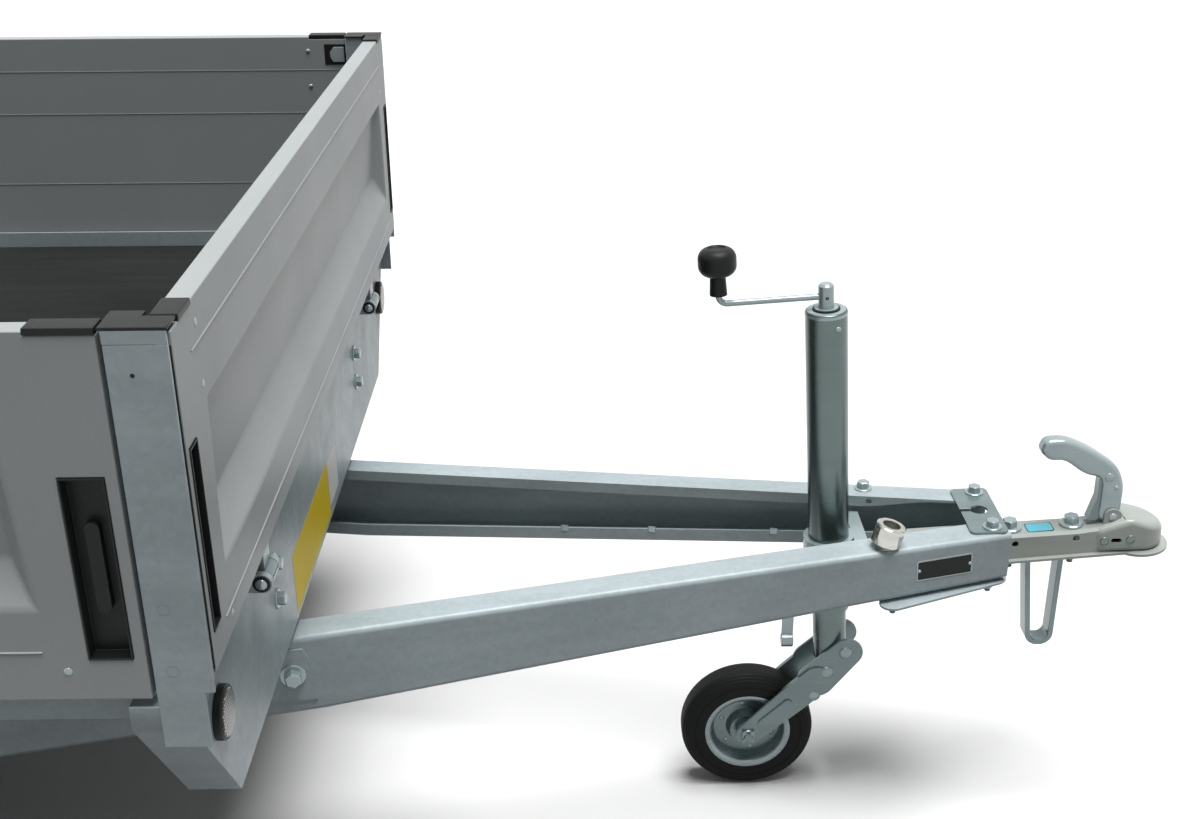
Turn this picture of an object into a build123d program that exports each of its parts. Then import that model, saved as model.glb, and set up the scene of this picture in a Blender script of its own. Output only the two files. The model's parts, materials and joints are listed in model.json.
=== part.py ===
"""Single-axle drop-side trailer with its deck above the wheels.

Millimetres. X points forward to the coupling, Y to the trailer's left, Z up.
The origin lies on the ground under the middle of the overall length.
Stations named *_AHEAD are measured forward from the front board's outer face.
"""
from build123d import *
import os
from math import atan, cos, pi, radians, sin

os.makedirs("parts", exist_ok=True)

# Load box
BOX_LENGTH = 2550.0
BOX_WIDTH = 1489.0
BOARD_T = 26.0
BOARD_TOP = 1064.0
FRONT_BOARD_BOTTOM = 707.0
SIDE_BOARD_BOTTOM = 681.0
DECK_Z = 685.0
FLOOR_T = 15.0
FLOOR_EDGE_GAP = 2.0
RUN_GAP = 5.0
FIT_GAP = 0.3

# Pressed field and seams on the outer face of every board
FIELD_END = 78.0
FIELD_DEPTH = 12.0
# Shares of the front board's height: field's lower edge, floor, upper floor and upper edge
FIELD_SHARES = (0.2073, 0.3417, 0.6891, 0.7115)
SEAM_SHARES = (0.0804, 0.8762)
SEAM_WIDTH = 2.0
SEAM_DEPTH = 1.2

# Locks let into the boards, and the caps on their top corners
LOCK_DEPTH = 18.0
LOCK_WALL = 2.0
FRONT_LOCK_WIDTH = 27.0
FRONT_LOCK_IN = 22.0
FRONT_LOCK_SHARE = 0.112
SIDE_LOCK_WIDTH = 43.0
SIDE_LOCK_IN = 33.5
SIDE_LOCK_SHARE = 0.056
LOCK_HEIGHT_SHARE = 0.546
FRONT_CAP_LENGTH = 50.0
SIDE_CAP_LENGTH = 63.0
CAP_DEPTH = 16.0
CAP_RISE = 3.0

# Hinges below the boards
END_HINGE_DROP = 50.0
SIDE_HINGE_DROP = 40.0
HINGE_R = 12.0
HINGE_PIN_R = 6.0
KNUCKLE_LENGTH = 30.0
LUG_LENGTH = 10.0
LUG_GAP = 1.0
LEAF_T = 6.0
END_HINGE_SHARE = 0.309
SIDE_HINGE_SHARE = 0.3333

# Frame
SHEET_T = 4.0
RAIL_T = 3.0
END_PLATE_BOTTOM = 462.0
END_PLATE_CORNER_IN = 139.5
END_PLATE_SHOULDER = 642.0
END_PLATE_FLANGE = 60.0
DECK_UPSTAND = 17.0
SIDE_RAIL_BOTTOM = 637.0
SIDE_RAIL_TOP = 712.0
SIDE_RAIL_LEDGE = 25.0
POST_DEPTH = 57.0
POST_FRONT_SET = 3.0
POST_TUBE_X = 27.0
POST_TUBE_Y = 42.5
POST_T = 3.0
POST_FOOT_BOTTOM = 624.0
POST_FOOT_TOP = 688.0
POST_FOOT_FRONT = 12.8
CHASSIS_RAIL_IN = 269.5
CHASSIS_RAIL_FLANGE = 40.0
CHASSIS_RAIL_BOTTOM = 500.0
BEARER_HEIGHT = 30.0
BEARER_WIDTH = 60.0
BEARER_SHARES = (0.196, 0.5, 0.804)

# Drawbar: two pressed channels that close in towards the coupling
BEAM_REAR_SHARE = 0.3843
TUBE_TO_NOSE = 252.5
BEAM_NOSE_HALF = 71.6
BEAM_UNDER_RAIL = 9.0
BEAM_TOP_Z = 449.3
BEAM_RISE = 0.0342
BEAM_DEPTH = 120.0
BEAM_TAPER = 0.047
BEAM_FLANGE = 45.0
BEAM_T = 4.0
BEAM_BEND_R = 8.0
BEAM_TOP_LIP = 17.0
BEAM_LOW_LIP = 20.0
BEAM_CUT_PAST = 50.0
LIP_FADE_BACK = (190.0, 75.0)
LIP_FADE_STEPS = 10
LIP_HOLE_BACK = 175.0
LIP_HOLE_R = 4.5
SADDLE_EDGE = 5.0
SADDLE_LENGTH = 50.0
SADDLE_BACK = 36.0
SADDLE_REAR_IN = 25.0
BRIDGE_T = 4.0
TOP_BRIDGE_BACK = (59.0, 4.0)
TOP_BRIDGE_HALF = 70.0
LOW_BRIDGE_TUBE_GAP = 29.5
LOW_BRIDGE_BACK = 7.0
PLUG_HOLE_R = 13.0
PLUG_SLOT = 8.0
RING_FROM_TUBE = 64.5
RING_Y = 92.0
RING_R = 22.5
RING_FACETS = 10
RING_HEIGHT = 29.0
RING_TILT = 14.0
RING_EDGE = 2.0
RING_HOLE_R = 13.0
RING_HOLE_DEPTH = 20.0

# Coupling
COUPLING_REACH = 257.0
COUPLING_TUBE_GAP = 39.5
COUPLING_WIDTH = 48.0
COUPLING_T = 4.0
COUPLING_RIM = 8.0
COUPLING_EDGE = 4.0
# Top of the coupling's channel: distance behind the head's middle, height
COUPLING_TOP = ((0.0, 57.0), (39.0, 52.0), (66.0, 43.5), (98.0, 41.5))
COUPLING_TAIL_H = 46.0
HEAD_R = 35.0
HEAD_HEIGHT = 60.0
HEAD_DOME_R = 24.0
SOCKET_R = 25.3
SOCKET_DEPTH = 30.0
SOCKET_RELIEF = 1.2
# Holes and a slot through the channel's sides: distance behind the head's middle, height
SIDE_HOLE_R = 5.0
SIDE_HOLES = ((190.0, 28.5), (99.5, 30.5))
SIDE_SLOT_BACK = 56.0
SIDE_SLOT_H = 29.5
SIDE_SLOT_LENGTH = 27.0
SIDE_SLOT_W = 7.0
# Parking foot: rear leg's top and foot, front leg, all measured back from the nose
FOOT_REAR_BACK = (212.0, 192.8)
FOOT_FRONT_BACK = 159.5
FOOT_DROP = 170.0
FOOT_TURN_R = 16.0
FOOT_BAR_T = 8.0
FOOT_BAR_W = 30.0
FOOT_PLATE_LENGTH = 120.0
EAR_R = 13.0
EAR_T = 4.0
LEVER_PIVOT_BACK = 92.0
LEVER_PIVOT_RISE = 57.5
LEVER_W = 26.0
LEVER_CORNER_R = 9.0
LEVER_EDGE_R = 5.0
# Side view of the lever from its pivot: forward, up
LEVER_OUTLINE = (
    (-19.0, -9.0), (11.0, -1.5), (13.0, 47.0), (0.0, 78.0), (-40.0, 106.0),
    (-92.0, 126.0), (-118.0, 109.0), (-98.0, 91.0), (-78.0, 91.0), (-49.0, 69.0),
    (-22.0, 61.0),
)

# Jockey wheel
TUBE_LEAN = 3.9
TUBE_AHEAD = 722.5
TUBE_DATUM_Z = 424.0
TUBE_R = 30.0
TUBE_UP = 383.0
TUBE_DOWN = 102.0
LEG_R = 25.5
LEG_UP = 170.0
LEG_DOWN = 190.0
LEG_T = 3.0
CLAMP_HEIGHT = 44.0
CLAMP_WALL = 8.0
CLAMP_BAR_T = 5.0
CLAMP_BAR_W = 20.0
CLAMP_BAR_GAP = 3.0
CRANK_REACH = 150.0
CRANK_HUB_R = 11.0
CRANK_HUB_TOP = 38.0
CRANK_HUB_EDGE = 3.0
CRANK_HOLE_R = 2.5
CRANK_ROD_R = 4.5
CRANK_RISE = 14.0
CRANK_BEND_R = 12.0
COLLAR_R = 17.0
COLLAR_T = 3.0
KNOB_R = 27.0
KNOB_STEM_R = (12.5, 11.0)
KNOB_STEM = 28.0
KNOB_HEIGHT = 40.0
KNOB_EDGE_R = 15.0
KNOB_DISH_R = 13.0
KNOB_DISH = 2.0
JOCKEY_TRAIL = 113.5
JOCKEY_WHEEL_R = 104.0
JOCKEY_TYRE_W = 50.0
JOCKEY_RIM_R = 65.0
JOCKEY_RIM_T = 3.0
JOCKEY_RIM_EDGE = 3.0
JOCKEY_PAN_R = 52.0
JOCKEY_PAN_HALF = 6.0
JOCKEY_BOSS_R = (33.0, 27.0, 15.0)
JOCKEY_BOSS_HALF = 19.0
JOCKEY_HUB_END = 27.0
JOCKEY_SHOULDER_R = 16.0
JOCKEY_PIN_R = 6.0
FORK_T = 4.0
FORK_LOBE_FORWARD = 34.5
FORK_LOBE_Z = 254.0
FORK_LOBE_R = 24.0
FORK_KNEE_BACK = 10.5
FORK_KNEE_Z = 205.0
FORK_KNEE_R = 30.0
FORK_SHOULDER_R = 24.0
FORK_SHOULDER_SHARE = 0.3
FORK_EYE_R = 19.0
FORK_JOGGLE = 5.0
FORK_RIB_R = 8.0
FORK_RIB_T = 3.0
FORK_RIB_SHARES = (0.42, 0.78)

# Running gear
WHEEL_SHARE = 0.54
TYRE_R = 289.0
TYRE_W = 156.0
WHEEL_IN = 114.5
RIM_SEAT_R = 166.0
RIM_FLANGE_R = 178.0
RIM_HALF_W = 62.0
RIM_T = 4.0
RIM_WELL = 18.0
RIM_WELL_AT = (-16.0, 28.0)
RIM_WELL_SLOPE = 8.0
DISC_OUT = 30.0
DISC_CROWN_R = 112.0
DISC_CROWN = 10.0
DISC_SEAT_R = 78.0
DISC_BORE_R = 29.0
VENT_COUNT = 8
VENT_R = 11.0
VENT_AT_R = 126.0
HUB_R = 36.0
HUB_FLANGE_R = 66.0
HUB_FLANGE_T = 12.0
HUB_CAP_R = (28.0, 24.0)
HUB_CAP_OUT = 24.0
STUB_R = 18.0
TYRE_BEAD = 2.0
TYRE_WALL = 18.0
TYRE_WALL_IN = 6.0
TYRE_BULGE = 55.0
# Tread's shoulder: distance in from the sidewall, distance below the crown
TYRE_SHOULDER = ((6.0, 24.0), (15.0, 10.0), (28.0, 3.0), (46.0, 0.0))
ARM_BACK = 155.0
ARM_DROP = 56.0
ARM_T = 27.0
ARM_GAP = 7.0
ARM_R = (44.0, 32.0)
AXLE_TUBE = 70.0
AXLE_TUBE_T = 5.0
AXLE_BRACKET_X = 110.0
AXLE_BRACKET_T = 8.0

# Lamps
REFLECTOR_R = 30.0
REFLECTOR_IN = 94.5
REFLECTOR_Z = 599.0
REFLECTOR_T = 12.0
LAMP_IN = 179.5
LAMP_Z = 570.0
LAMP_W = 140.0
LAMP_H = 90.0
LAMP_DEPTH = 30.0
LAMP_CORNER_R = 8.0
LAMP_EDGE_R = 4.0

# Stations worked out from the sizes above
BEAM_NOSE_AHEAD = TUBE_AHEAD + TUBE_TO_NOSE
NOSE_AHEAD = BEAM_NOSE_AHEAD + COUPLING_REACH
RING_AHEAD = TUBE_AHEAD + RING_FROM_TUBE
FRONT_X = (BOX_LENGTH - NOSE_AHEAD) / 2
TAIL_X = FRONT_X - BOX_LENGTH
BOX_MID_X = FRONT_X - BOX_LENGTH / 2
HALF_WIDTH = BOX_WIDTH / 2
BOARD_HEIGHT = BOARD_TOP - FRONT_BOARD_BOTTOM
LOCK_HEIGHT = LOCK_HEIGHT_SHARE * BOARD_HEIGHT
FIELD_HEIGHTS = [FRONT_BOARD_BOTTOM + share * BOARD_HEIGHT for share in FIELD_SHARES]
SEAM_HEIGHTS = [FRONT_BOARD_BOTTOM + share * BOARD_HEIGHT for share in SEAM_SHARES]
END_PLATE_HALF_BOTTOM = HALF_WIDTH - END_PLATE_CORNER_IN
CHASSIS_RAIL_Y = HALF_WIDTH - CHASSIS_RAIL_IN
FRAME_SET = BOARD_T + RUN_GAP
HINGE_SET = BOARD_T / 2
FLOOR_LOW = DECK_Z - FLOOR_T
END_BOARD_LENGTH = BOX_WIDTH - 2 * (POST_T + RUN_GAP)
POST_BACK = POST_FRONT_SET + POST_DEPTH
SIDE_BOARD_LENGTH = BOX_LENGTH - 2 * (POST_BACK + RUN_GAP)
RAIL_FACE_Y = HALF_WIDTH - FRAME_SET
END_HINGE_Z = FRONT_BOARD_BOTTOM - END_HINGE_DROP
SIDE_HINGE_Z = SIDE_BOARD_BOTTOM - SIDE_HINGE_DROP
CHASSIS_RAIL_TOP = FLOOR_LOW - BEARER_HEIGHT
AXLE_X = FRONT_X - WHEEL_SHARE * BOX_LENGTH
WHEEL_Y = HALF_WIDTH - WHEEL_IN
ARM_PIVOT_X = AXLE_X + ARM_BACK
ARM_PIVOT_Z = TYRE_R + ARM_DROP
ARM_OUT_Y = WHEEL_Y - TYRE_W / 2 - ARM_GAP
ARM_IN_Y = ARM_OUT_Y - ARM_T

# Outer faces of the four boards, x along the board, y up from the ground
FRONT_FACE = Plane(origin=(FRONT_X, 0, 0), x_dir=(0, 1, 0), z_dir=(1, 0, 0))
TAIL_FACE = Plane(origin=(TAIL_X, 0, 0), x_dir=(0, -1, 0), z_dir=(-1, 0, 0))
LEFT_FACE = Plane(origin=(BOX_MID_X, HALF_WIDTH, 0), x_dir=(-1, 0, 0), z_dir=(0, 1, 0))
RIGHT_FACE = Plane(origin=(BOX_MID_X, -HALF_WIDTH, 0), x_dir=(1, 0, 0), z_dir=(0, -1, 0))

# Outer web of the left drawbar beam, x forward along it, z inward
BEAM_REAR_AHEAD = -BEAM_REAR_SHARE * BOX_LENGTH
BEAM_CLOSE = (CHASSIS_RAIL_Y - BEAM_UNDER_RAIL - BEAM_NOSE_HALF) / (BEAM_NOSE_AHEAD - BEAM_REAR_AHEAD)
BEAM_HALF_Y = BEAM_NOSE_HALF + BEAM_CLOSE * BEAM_NOSE_AHEAD
BEAM_TURN = atan(BEAM_CLOSE)
BEAM_WEB = Plane(
    origin=(FRONT_X, BEAM_HALF_Y, 0),
    x_dir=(cos(BEAM_TURN), -sin(BEAM_TURN), 0),
    z_dir=(-sin(BEAM_TURN), -cos(BEAM_TURN), 0),
)

# Underside of the tapered nose, which carries the lower bridge and the coupling
NOSE_PITCH = atan(BEAM_RISE + BEAM_TAPER)
NOSE_FLOOR = Plane(
    origin=(FRONT_X, 0, BEAM_TOP_Z - BEAM_DEPTH),
    x_dir=(cos(NOSE_PITCH), 0, sin(NOSE_PITCH)),
    z_dir=(-sin(NOSE_PITCH), 0, cos(NOSE_PITCH)),
)
NOSE_SIDE = Plane(origin=NOSE_FLOOR.origin, x_dir=NOSE_FLOOR.x_dir, z_dir=(0, -1, 0))
BEAM_PITCH = atan(BEAM_RISE)
BEAM_ROOF = Plane(
    origin=(FRONT_X, 0, BEAM_TOP_Z),
    x_dir=(cos(BEAM_PITCH), 0, sin(BEAM_PITCH)),
    z_dir=(-sin(BEAM_PITCH), 0, cos(BEAM_PITCH)),
)

# Jockey tube: z runs up its axis, x stays in the trailer's middle plane
LEAN = radians(TUBE_LEAN)
TUBE_AXIS = Plane(
    origin=(FRONT_X + TUBE_AHEAD, 0, TUBE_DATUM_Z),
    x_dir=(cos(LEAN), 0, sin(LEAN)),
    z_dir=(-sin(LEAN), 0, cos(LEAN)),
)


def save(builder, name):
    """Label one finished piece and write it."""
    builder.part.label = name
    export_step(builder.part, f"parts/{name}.step")


def save_pair(builder, name):
    """Write a left-hand piece and its mirror image on the right."""
    save(builder, f"{name}_left")
    with BuildPart() as twin:
        mirror(builder.part, about=Plane.XZ)
    save(twin, f"{name}_right")


def side_plane(face, along):
    """Return the plane across a board at one station: x outward, y up."""
    return Plane(
        origin=face.from_local_coords(Vector(along, 0, 0)),
        x_dir=face.z_dir,
        z_dir=face.z_dir.cross(Vector(0, 0, 1)),
    )


def beam_top(ahead):
    """Return the height of the drawbar's top flange."""
    return BEAM_TOP_Z + BEAM_RISE * ahead


def beam_low(ahead):
    """Return the height of the drawbar's underside, level with the root or tapered."""
    return beam_top(ahead) - BEAM_DEPTH + BEAM_TAPER * max(ahead, 0)


def along_beam(ahead):
    """Return the distance along the drawbar's web of a station ahead of the box."""
    return ahead / cos(BEAM_TURN)


# Boards: table of face, length, lower edge, hinge height, hinge stations and lock sizes
END_HINGES = (-END_HINGE_SHARE * BOX_WIDTH, END_HINGE_SHARE * BOX_WIDTH)
SIDE_HINGES = (-SIDE_HINGE_SHARE * BOX_LENGTH, 0.0, SIDE_HINGE_SHARE * BOX_LENGTH)
FRONT_LOCK = (FRONT_LOCK_WIDTH, FRONT_LOCK_IN, FRONT_LOCK_SHARE)
SIDE_LOCK = (SIDE_LOCK_WIDTH, SIDE_LOCK_IN, SIDE_LOCK_SHARE)
BOARDS = (
    ("front_board", FRONT_FACE, END_BOARD_LENGTH, FRONT_BOARD_BOTTOM,
     END_HINGE_Z, END_HINGES, FRONT_LOCK, FRONT_CAP_LENGTH),
    ("tailboard", TAIL_FACE, END_BOARD_LENGTH, FRONT_BOARD_BOTTOM,
     END_HINGE_Z, END_HINGES, FRONT_LOCK, FRONT_CAP_LENGTH),
    ("side_board_left", LEFT_FACE, SIDE_BOARD_LENGTH, SIDE_BOARD_BOTTOM,
     SIDE_HINGE_Z, SIDE_HINGES, SIDE_LOCK, SIDE_CAP_LENGTH),
    ("side_board_right", RIGHT_FACE, SIDE_BOARD_LENGTH, SIDE_BOARD_BOTTOM,
     SIDE_HINGE_Z, SIDE_HINGES, SIDE_LOCK, SIDE_CAP_LENGTH),
)

for name, face, length, low, hinge_z, hinges, (lock_w, lock_in, lock_share), cap in BOARDS:
    lock_mid = FRONT_BOARD_BOTTOM + lock_share * BOARD_HEIGHT + LOCK_HEIGHT / 2
    lock_spots = [(s * (length / 2 - lock_in), lock_mid) for s in (-1, 1)]
    cap_spots = [(s * (length - cap) / 2, BOARD_TOP - CAP_DEPTH / 2) for s in (-1, 1)]
    field_length = length - 2 * FIELD_END
    low_edge, low_floor, top_floor, top_edge = FIELD_HEIGHTS

    # Folded metal board with its pressed field, seams, pockets and hinge knuckles
    with BuildPart() as board:
        with BuildSketch(face):
            with Locations((0, (low + BOARD_TOP) / 2)):
                Rectangle(length, BOARD_TOP - low)
        extrude(amount=-BOARD_T)
        with BuildSketch(face):
            with Locations((0, (low_edge + top_edge) / 2)):
                Rectangle(field_length, top_edge - low_edge)
        with BuildSketch(face.offset(-FIELD_DEPTH)):
            with Locations((0, (low_floor + top_floor) / 2)):
                Rectangle(field_length - 4 * FIELD_DEPTH, top_floor - low_floor)
        loft(ruled=True, mode=Mode.SUBTRACT)
        with BuildSketch(face):
            with Locations(*[(0, z) for z in SEAM_HEIGHTS]):
                Rectangle(length, SEAM_WIDTH)
        extrude(amount=-SEAM_DEPTH, mode=Mode.SUBTRACT)
        with BuildSketch(face):
            with Locations(*lock_spots):
                Rectangle(lock_w, LOCK_HEIGHT)
        extrude(amount=-LOCK_DEPTH, mode=Mode.SUBTRACT)
        with BuildSketch(face):
            with Locations(*cap_spots):
                Rectangle(cap, CAP_DEPTH)
        extrude(amount=-BOARD_T, mode=Mode.SUBTRACT)
        for station in hinges:
            with BuildSketch(side_plane(face, station)):
                with Locations((-HINGE_SET, hinge_z)):
                    Circle(HINGE_R)
                with Locations((-HINGE_SET, (hinge_z + low) / 2)):
                    Rectangle(LEAF_T, low - hinge_z)
                with Locations((-HINGE_SET, hinge_z)):
                    Circle(HINGE_PIN_R + FIT_GAP, mode=Mode.SUBTRACT)
            extrude(amount=KNUCKLE_LENGTH / 2, both=True)
    save(board, name)

    # Black lock trays, each with a pull bar standing in it
    with BuildPart() as locks:
        with BuildSketch(face):
            with Locations(*lock_spots):
                Rectangle(lock_w, LOCK_HEIGHT)
        extrude(amount=-LOCK_DEPTH)
        with BuildSketch(face):
            with Locations(*lock_spots):
                Rectangle(lock_w - 2 * LOCK_WALL, LOCK_HEIGHT - 2 * LOCK_WALL)
        extrude(amount=LOCK_WALL - LOCK_DEPTH, mode=Mode.SUBTRACT)
        with BuildSketch(face.offset(LOCK_WALL - LOCK_DEPTH)):
            with Locations(*lock_spots):
                SlotOverall(LOCK_HEIGHT / 2, lock_w / 3, rotation=90)
        extrude(amount=LOCK_DEPTH / 2)
    save(locks, f"{name}_locks")

    # Black caps on the top corners
    with BuildPart() as caps:
        with BuildSketch(face):
            for x, z in cap_spots:
                with Locations((x, z + CAP_RISE / 2)):
                    Rectangle(cap, CAP_DEPTH + CAP_RISE)
        extrude(amount=-BOARD_T)
    save(caps, f"{name}_caps")


def hinge_lugs(face, hinge_z, stations):
    """Return the fixed halves of one board's hinges.

    Two lugs stand out from the frame's face beside the board's knuckle and hold the pin.
    """
    reach = KNUCKLE_LENGTH / 2 + LUG_GAP
    with BuildPart() as lugs:
        for station in stations:
            for side in (-1, 1):
                with BuildSketch(side_plane(face, station + side * (reach + LUG_LENGTH / 2))):
                    with Locations((-HINGE_SET, hinge_z)):
                        Circle(HINGE_R)
                    with Locations((-(HINGE_SET + FRAME_SET) / 2, hinge_z)):
                        Rectangle(FRAME_SET - HINGE_SET, 2 * HINGE_R)
                extrude(amount=LUG_LENGTH / 2, both=True)
            with BuildSketch(side_plane(face, station)):
                with Locations((-HINGE_SET, hinge_z)):
                    Circle(HINGE_PIN_R)
            extrude(amount=reach + LUG_LENGTH, both=True)
    return lugs.part


# End plates: folded pans with chamfered lower corners, open to the rear of the fold
for name, face in (("front_plate", FRONT_FACE), ("rear_plate", TAIL_FACE)):
    end_half = HALF_WIDTH - POST_T
    lugs = hinge_lugs(face, END_HINGE_Z, END_HINGES)
    with BuildPart() as end_plate:
        with BuildSketch(face.offset(-FRAME_SET)):
            with BuildLine():
                Polyline(
                    (-end_half, FLOOR_LOW),
                    (-end_half, END_PLATE_SHOULDER),
                    (-END_PLATE_HALF_BOTTOM, END_PLATE_BOTTOM),
                    (END_PLATE_HALF_BOTTOM, END_PLATE_BOTTOM),
                    (end_half, END_PLATE_SHOULDER),
                    (end_half, FLOOR_LOW),
                    close=True,
                )
            make_face()
        extrude(amount=-END_PLATE_FLANGE)
        inner_face = end_plate.faces().filter_by(face).sort_by(Axis(face.origin, face.z_dir))[0]
        offset(amount=-SHEET_T, openings=inner_face)
        with BuildSketch(face.offset(-FRAME_SET)):
            with Locations((0, (FLOOR_LOW + DECK_Z + DECK_UPSTAND) / 2)):
                Rectangle(2 * (HALF_WIDTH - POST_TUBE_Y - FLOOR_EDGE_GAP), FLOOR_T + DECK_UPSTAND)
        extrude(amount=-SHEET_T)
        add(lugs)
        if name == "rear_plate":
            with BuildSketch(face.offset(-FRAME_SET)):
                with Locations((LAMP_IN - HALF_WIDTH, LAMP_Z), (HALF_WIDTH - LAMP_IN, LAMP_Z)):
                    RectangleRounded(LAMP_W, LAMP_H, LAMP_CORNER_R)
            extrude(amount=-SHEET_T, mode=Mode.SUBTRACT)
    save(end_plate, name)

# Side rails: an upstand beside the floor, a ledge under the bearers and the hinge lugs
RAIL_LENGTH = BOX_LENGTH - 2 * (FRAME_SET + END_PLATE_FLANGE)
rail_lugs = hinge_lugs(LEFT_FACE, SIDE_HINGE_Z, SIDE_HINGES)
with BuildPart() as side_rail:
    with BuildSketch(LEFT_FACE.offset(-FRAME_SET)):
        with Locations((0, (SIDE_RAIL_BOTTOM + SIDE_RAIL_TOP) / 2)):
            Rectangle(RAIL_LENGTH, SIDE_RAIL_TOP - SIDE_RAIL_BOTTOM)
    extrude(amount=-RAIL_T)
    with BuildSketch(LEFT_FACE.offset(-FRAME_SET)):
        with Locations((0, SIDE_RAIL_BOTTOM + RAIL_T / 2)):
            Rectangle(RAIL_LENGTH, RAIL_T)
    extrude(amount=-SIDE_RAIL_LEDGE)
    add(rail_lugs)
save_pair(side_rail, "side_rail")

# Corner posts: a box tube, a flange that covers the end board's edge, and a foot
POST_TOP = BOARD_TOP - CAP_DEPTH + CAP_RISE
post_back_x = FRONT_X - POST_BACK
with BuildPart() as post:
    with BuildSketch(Plane.XY.offset(POST_FOOT_TOP)):
        with Locations((post_back_x, HALF_WIDTH)):
            Rectangle(POST_TUBE_X, POST_TUBE_Y, align=(Align.MIN, Align.MAX))
            Rectangle(POST_DEPTH, POST_T, align=(Align.MIN, Align.MAX))
        with Locations((post_back_x + POST_T, HALF_WIDTH - POST_T)):
            Rectangle(POST_TUBE_X - 2 * POST_T, POST_TUBE_Y - 2 * POST_T,
                      align=(Align.MIN, Align.MAX), mode=Mode.SUBTRACT)
    extrude(amount=POST_TOP - POST_FOOT_TOP)
    with BuildSketch(LEFT_FACE):
        with Locations((BOX_MID_X - FRONT_X + (POST_BACK + POST_FOOT_FRONT) / 2,
                        (POST_FOOT_BOTTOM + POST_FOOT_TOP) / 2)):
            Rectangle(POST_BACK - POST_FOOT_FRONT, POST_FOOT_TOP - POST_FOOT_BOTTOM)
    extrude(amount=-POST_T)
with BuildPart() as post_rear:
    mirror(post.part, about=Plane.YZ.offset(BOX_MID_X))
save_pair(post, "corner_post_front")
save_pair(post_rear, "corner_post_rear")

with BuildPart() as post_caps:
    with BuildSketch(Plane.XY.offset(POST_TOP)):
        with Locations((post_back_x, HALF_WIDTH)):
            Rectangle(POST_TUBE_X, POST_TUBE_Y, align=(Align.MIN, Align.MAX))
            Rectangle(POST_DEPTH, POST_T, align=(Align.MIN, Align.MAX))
    extrude(amount=CAP_DEPTH)
    mirror(about=Plane.XZ)
    mirror(about=Plane.YZ.offset(BOX_MID_X))
save(post_caps, "post_caps")

# Chassis rails: channels open to the inside, from end plate to end plate
CHASSIS_LENGTH = BOX_LENGTH - 2 * (FRAME_SET + SHEET_T)
rail_web = Plane(origin=(BOX_MID_X, CHASSIS_RAIL_Y, 0), x_dir=(-1, 0, 0), z_dir=(0, 1, 0))
rail_mid_z = (CHASSIS_RAIL_BOTTOM + CHASSIS_RAIL_TOP) / 2
rail_height = CHASSIS_RAIL_TOP - CHASSIS_RAIL_BOTTOM
with BuildPart() as chassis_rail:
    with BuildSketch(rail_web):
        with Locations((0, rail_mid_z)):
            Rectangle(CHASSIS_LENGTH, rail_height)
    extrude(amount=-CHASSIS_RAIL_FLANGE)
    with BuildSketch(rail_web.offset(-SHEET_T)):
        with Locations((0, rail_mid_z)):
            Rectangle(CHASSIS_LENGTH, rail_height - 2 * SHEET_T)
    extrude(amount=-CHASSIS_RAIL_FLANGE, mode=Mode.SUBTRACT)
save_pair(chassis_rail, "chassis_rail")

# Floor bearers: channels lying across the rails, open below
bearer_stations = [FRONT_X - share * BOX_LENGTH for share in BEARER_SHARES]
with BuildPart() as bearers:
    with BuildSketch(Plane.XZ):
        with Locations(*[(x, FLOOR_LOW - BEARER_HEIGHT / 2) for x in bearer_stations]):
            Rectangle(BEARER_WIDTH, BEARER_HEIGHT)
        with Locations(*[(x, FLOOR_LOW - (BEARER_HEIGHT + RAIL_T) / 2) for x in bearer_stations]):
            Rectangle(BEARER_WIDTH - 2 * RAIL_T, BEARER_HEIGHT - RAIL_T, mode=Mode.SUBTRACT)
    extrude(amount=RAIL_FACE_Y - RAIL_T, both=True)
save(bearers, "floor_bearers")

# Plywood floor inside the rails and end plates
with BuildPart() as floor:
    with BuildSketch(Plane.XY.offset(FLOOR_LOW)):
        with Locations((BOX_MID_X, 0)):
            Rectangle(CHASSIS_LENGTH - 2 * FLOOR_EDGE_GAP,
                      2 * (RAIL_FACE_Y - RAIL_T - FLOOR_EDGE_GAP))
    extrude(amount=FLOOR_T)
save(floor, "floor_board")


def beam_outline(rear, nose, top_in, low_in):
    """Return the corners of the beam's side view, drawn in from its edges."""
    stations = (rear, 0.0, nose)
    low = [(along_beam(a), beam_low(a) + low_in) for a in stations]
    top = [(along_beam(a), beam_top(a) - top_in) for a in (nose, rear)]
    return low + top


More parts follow.
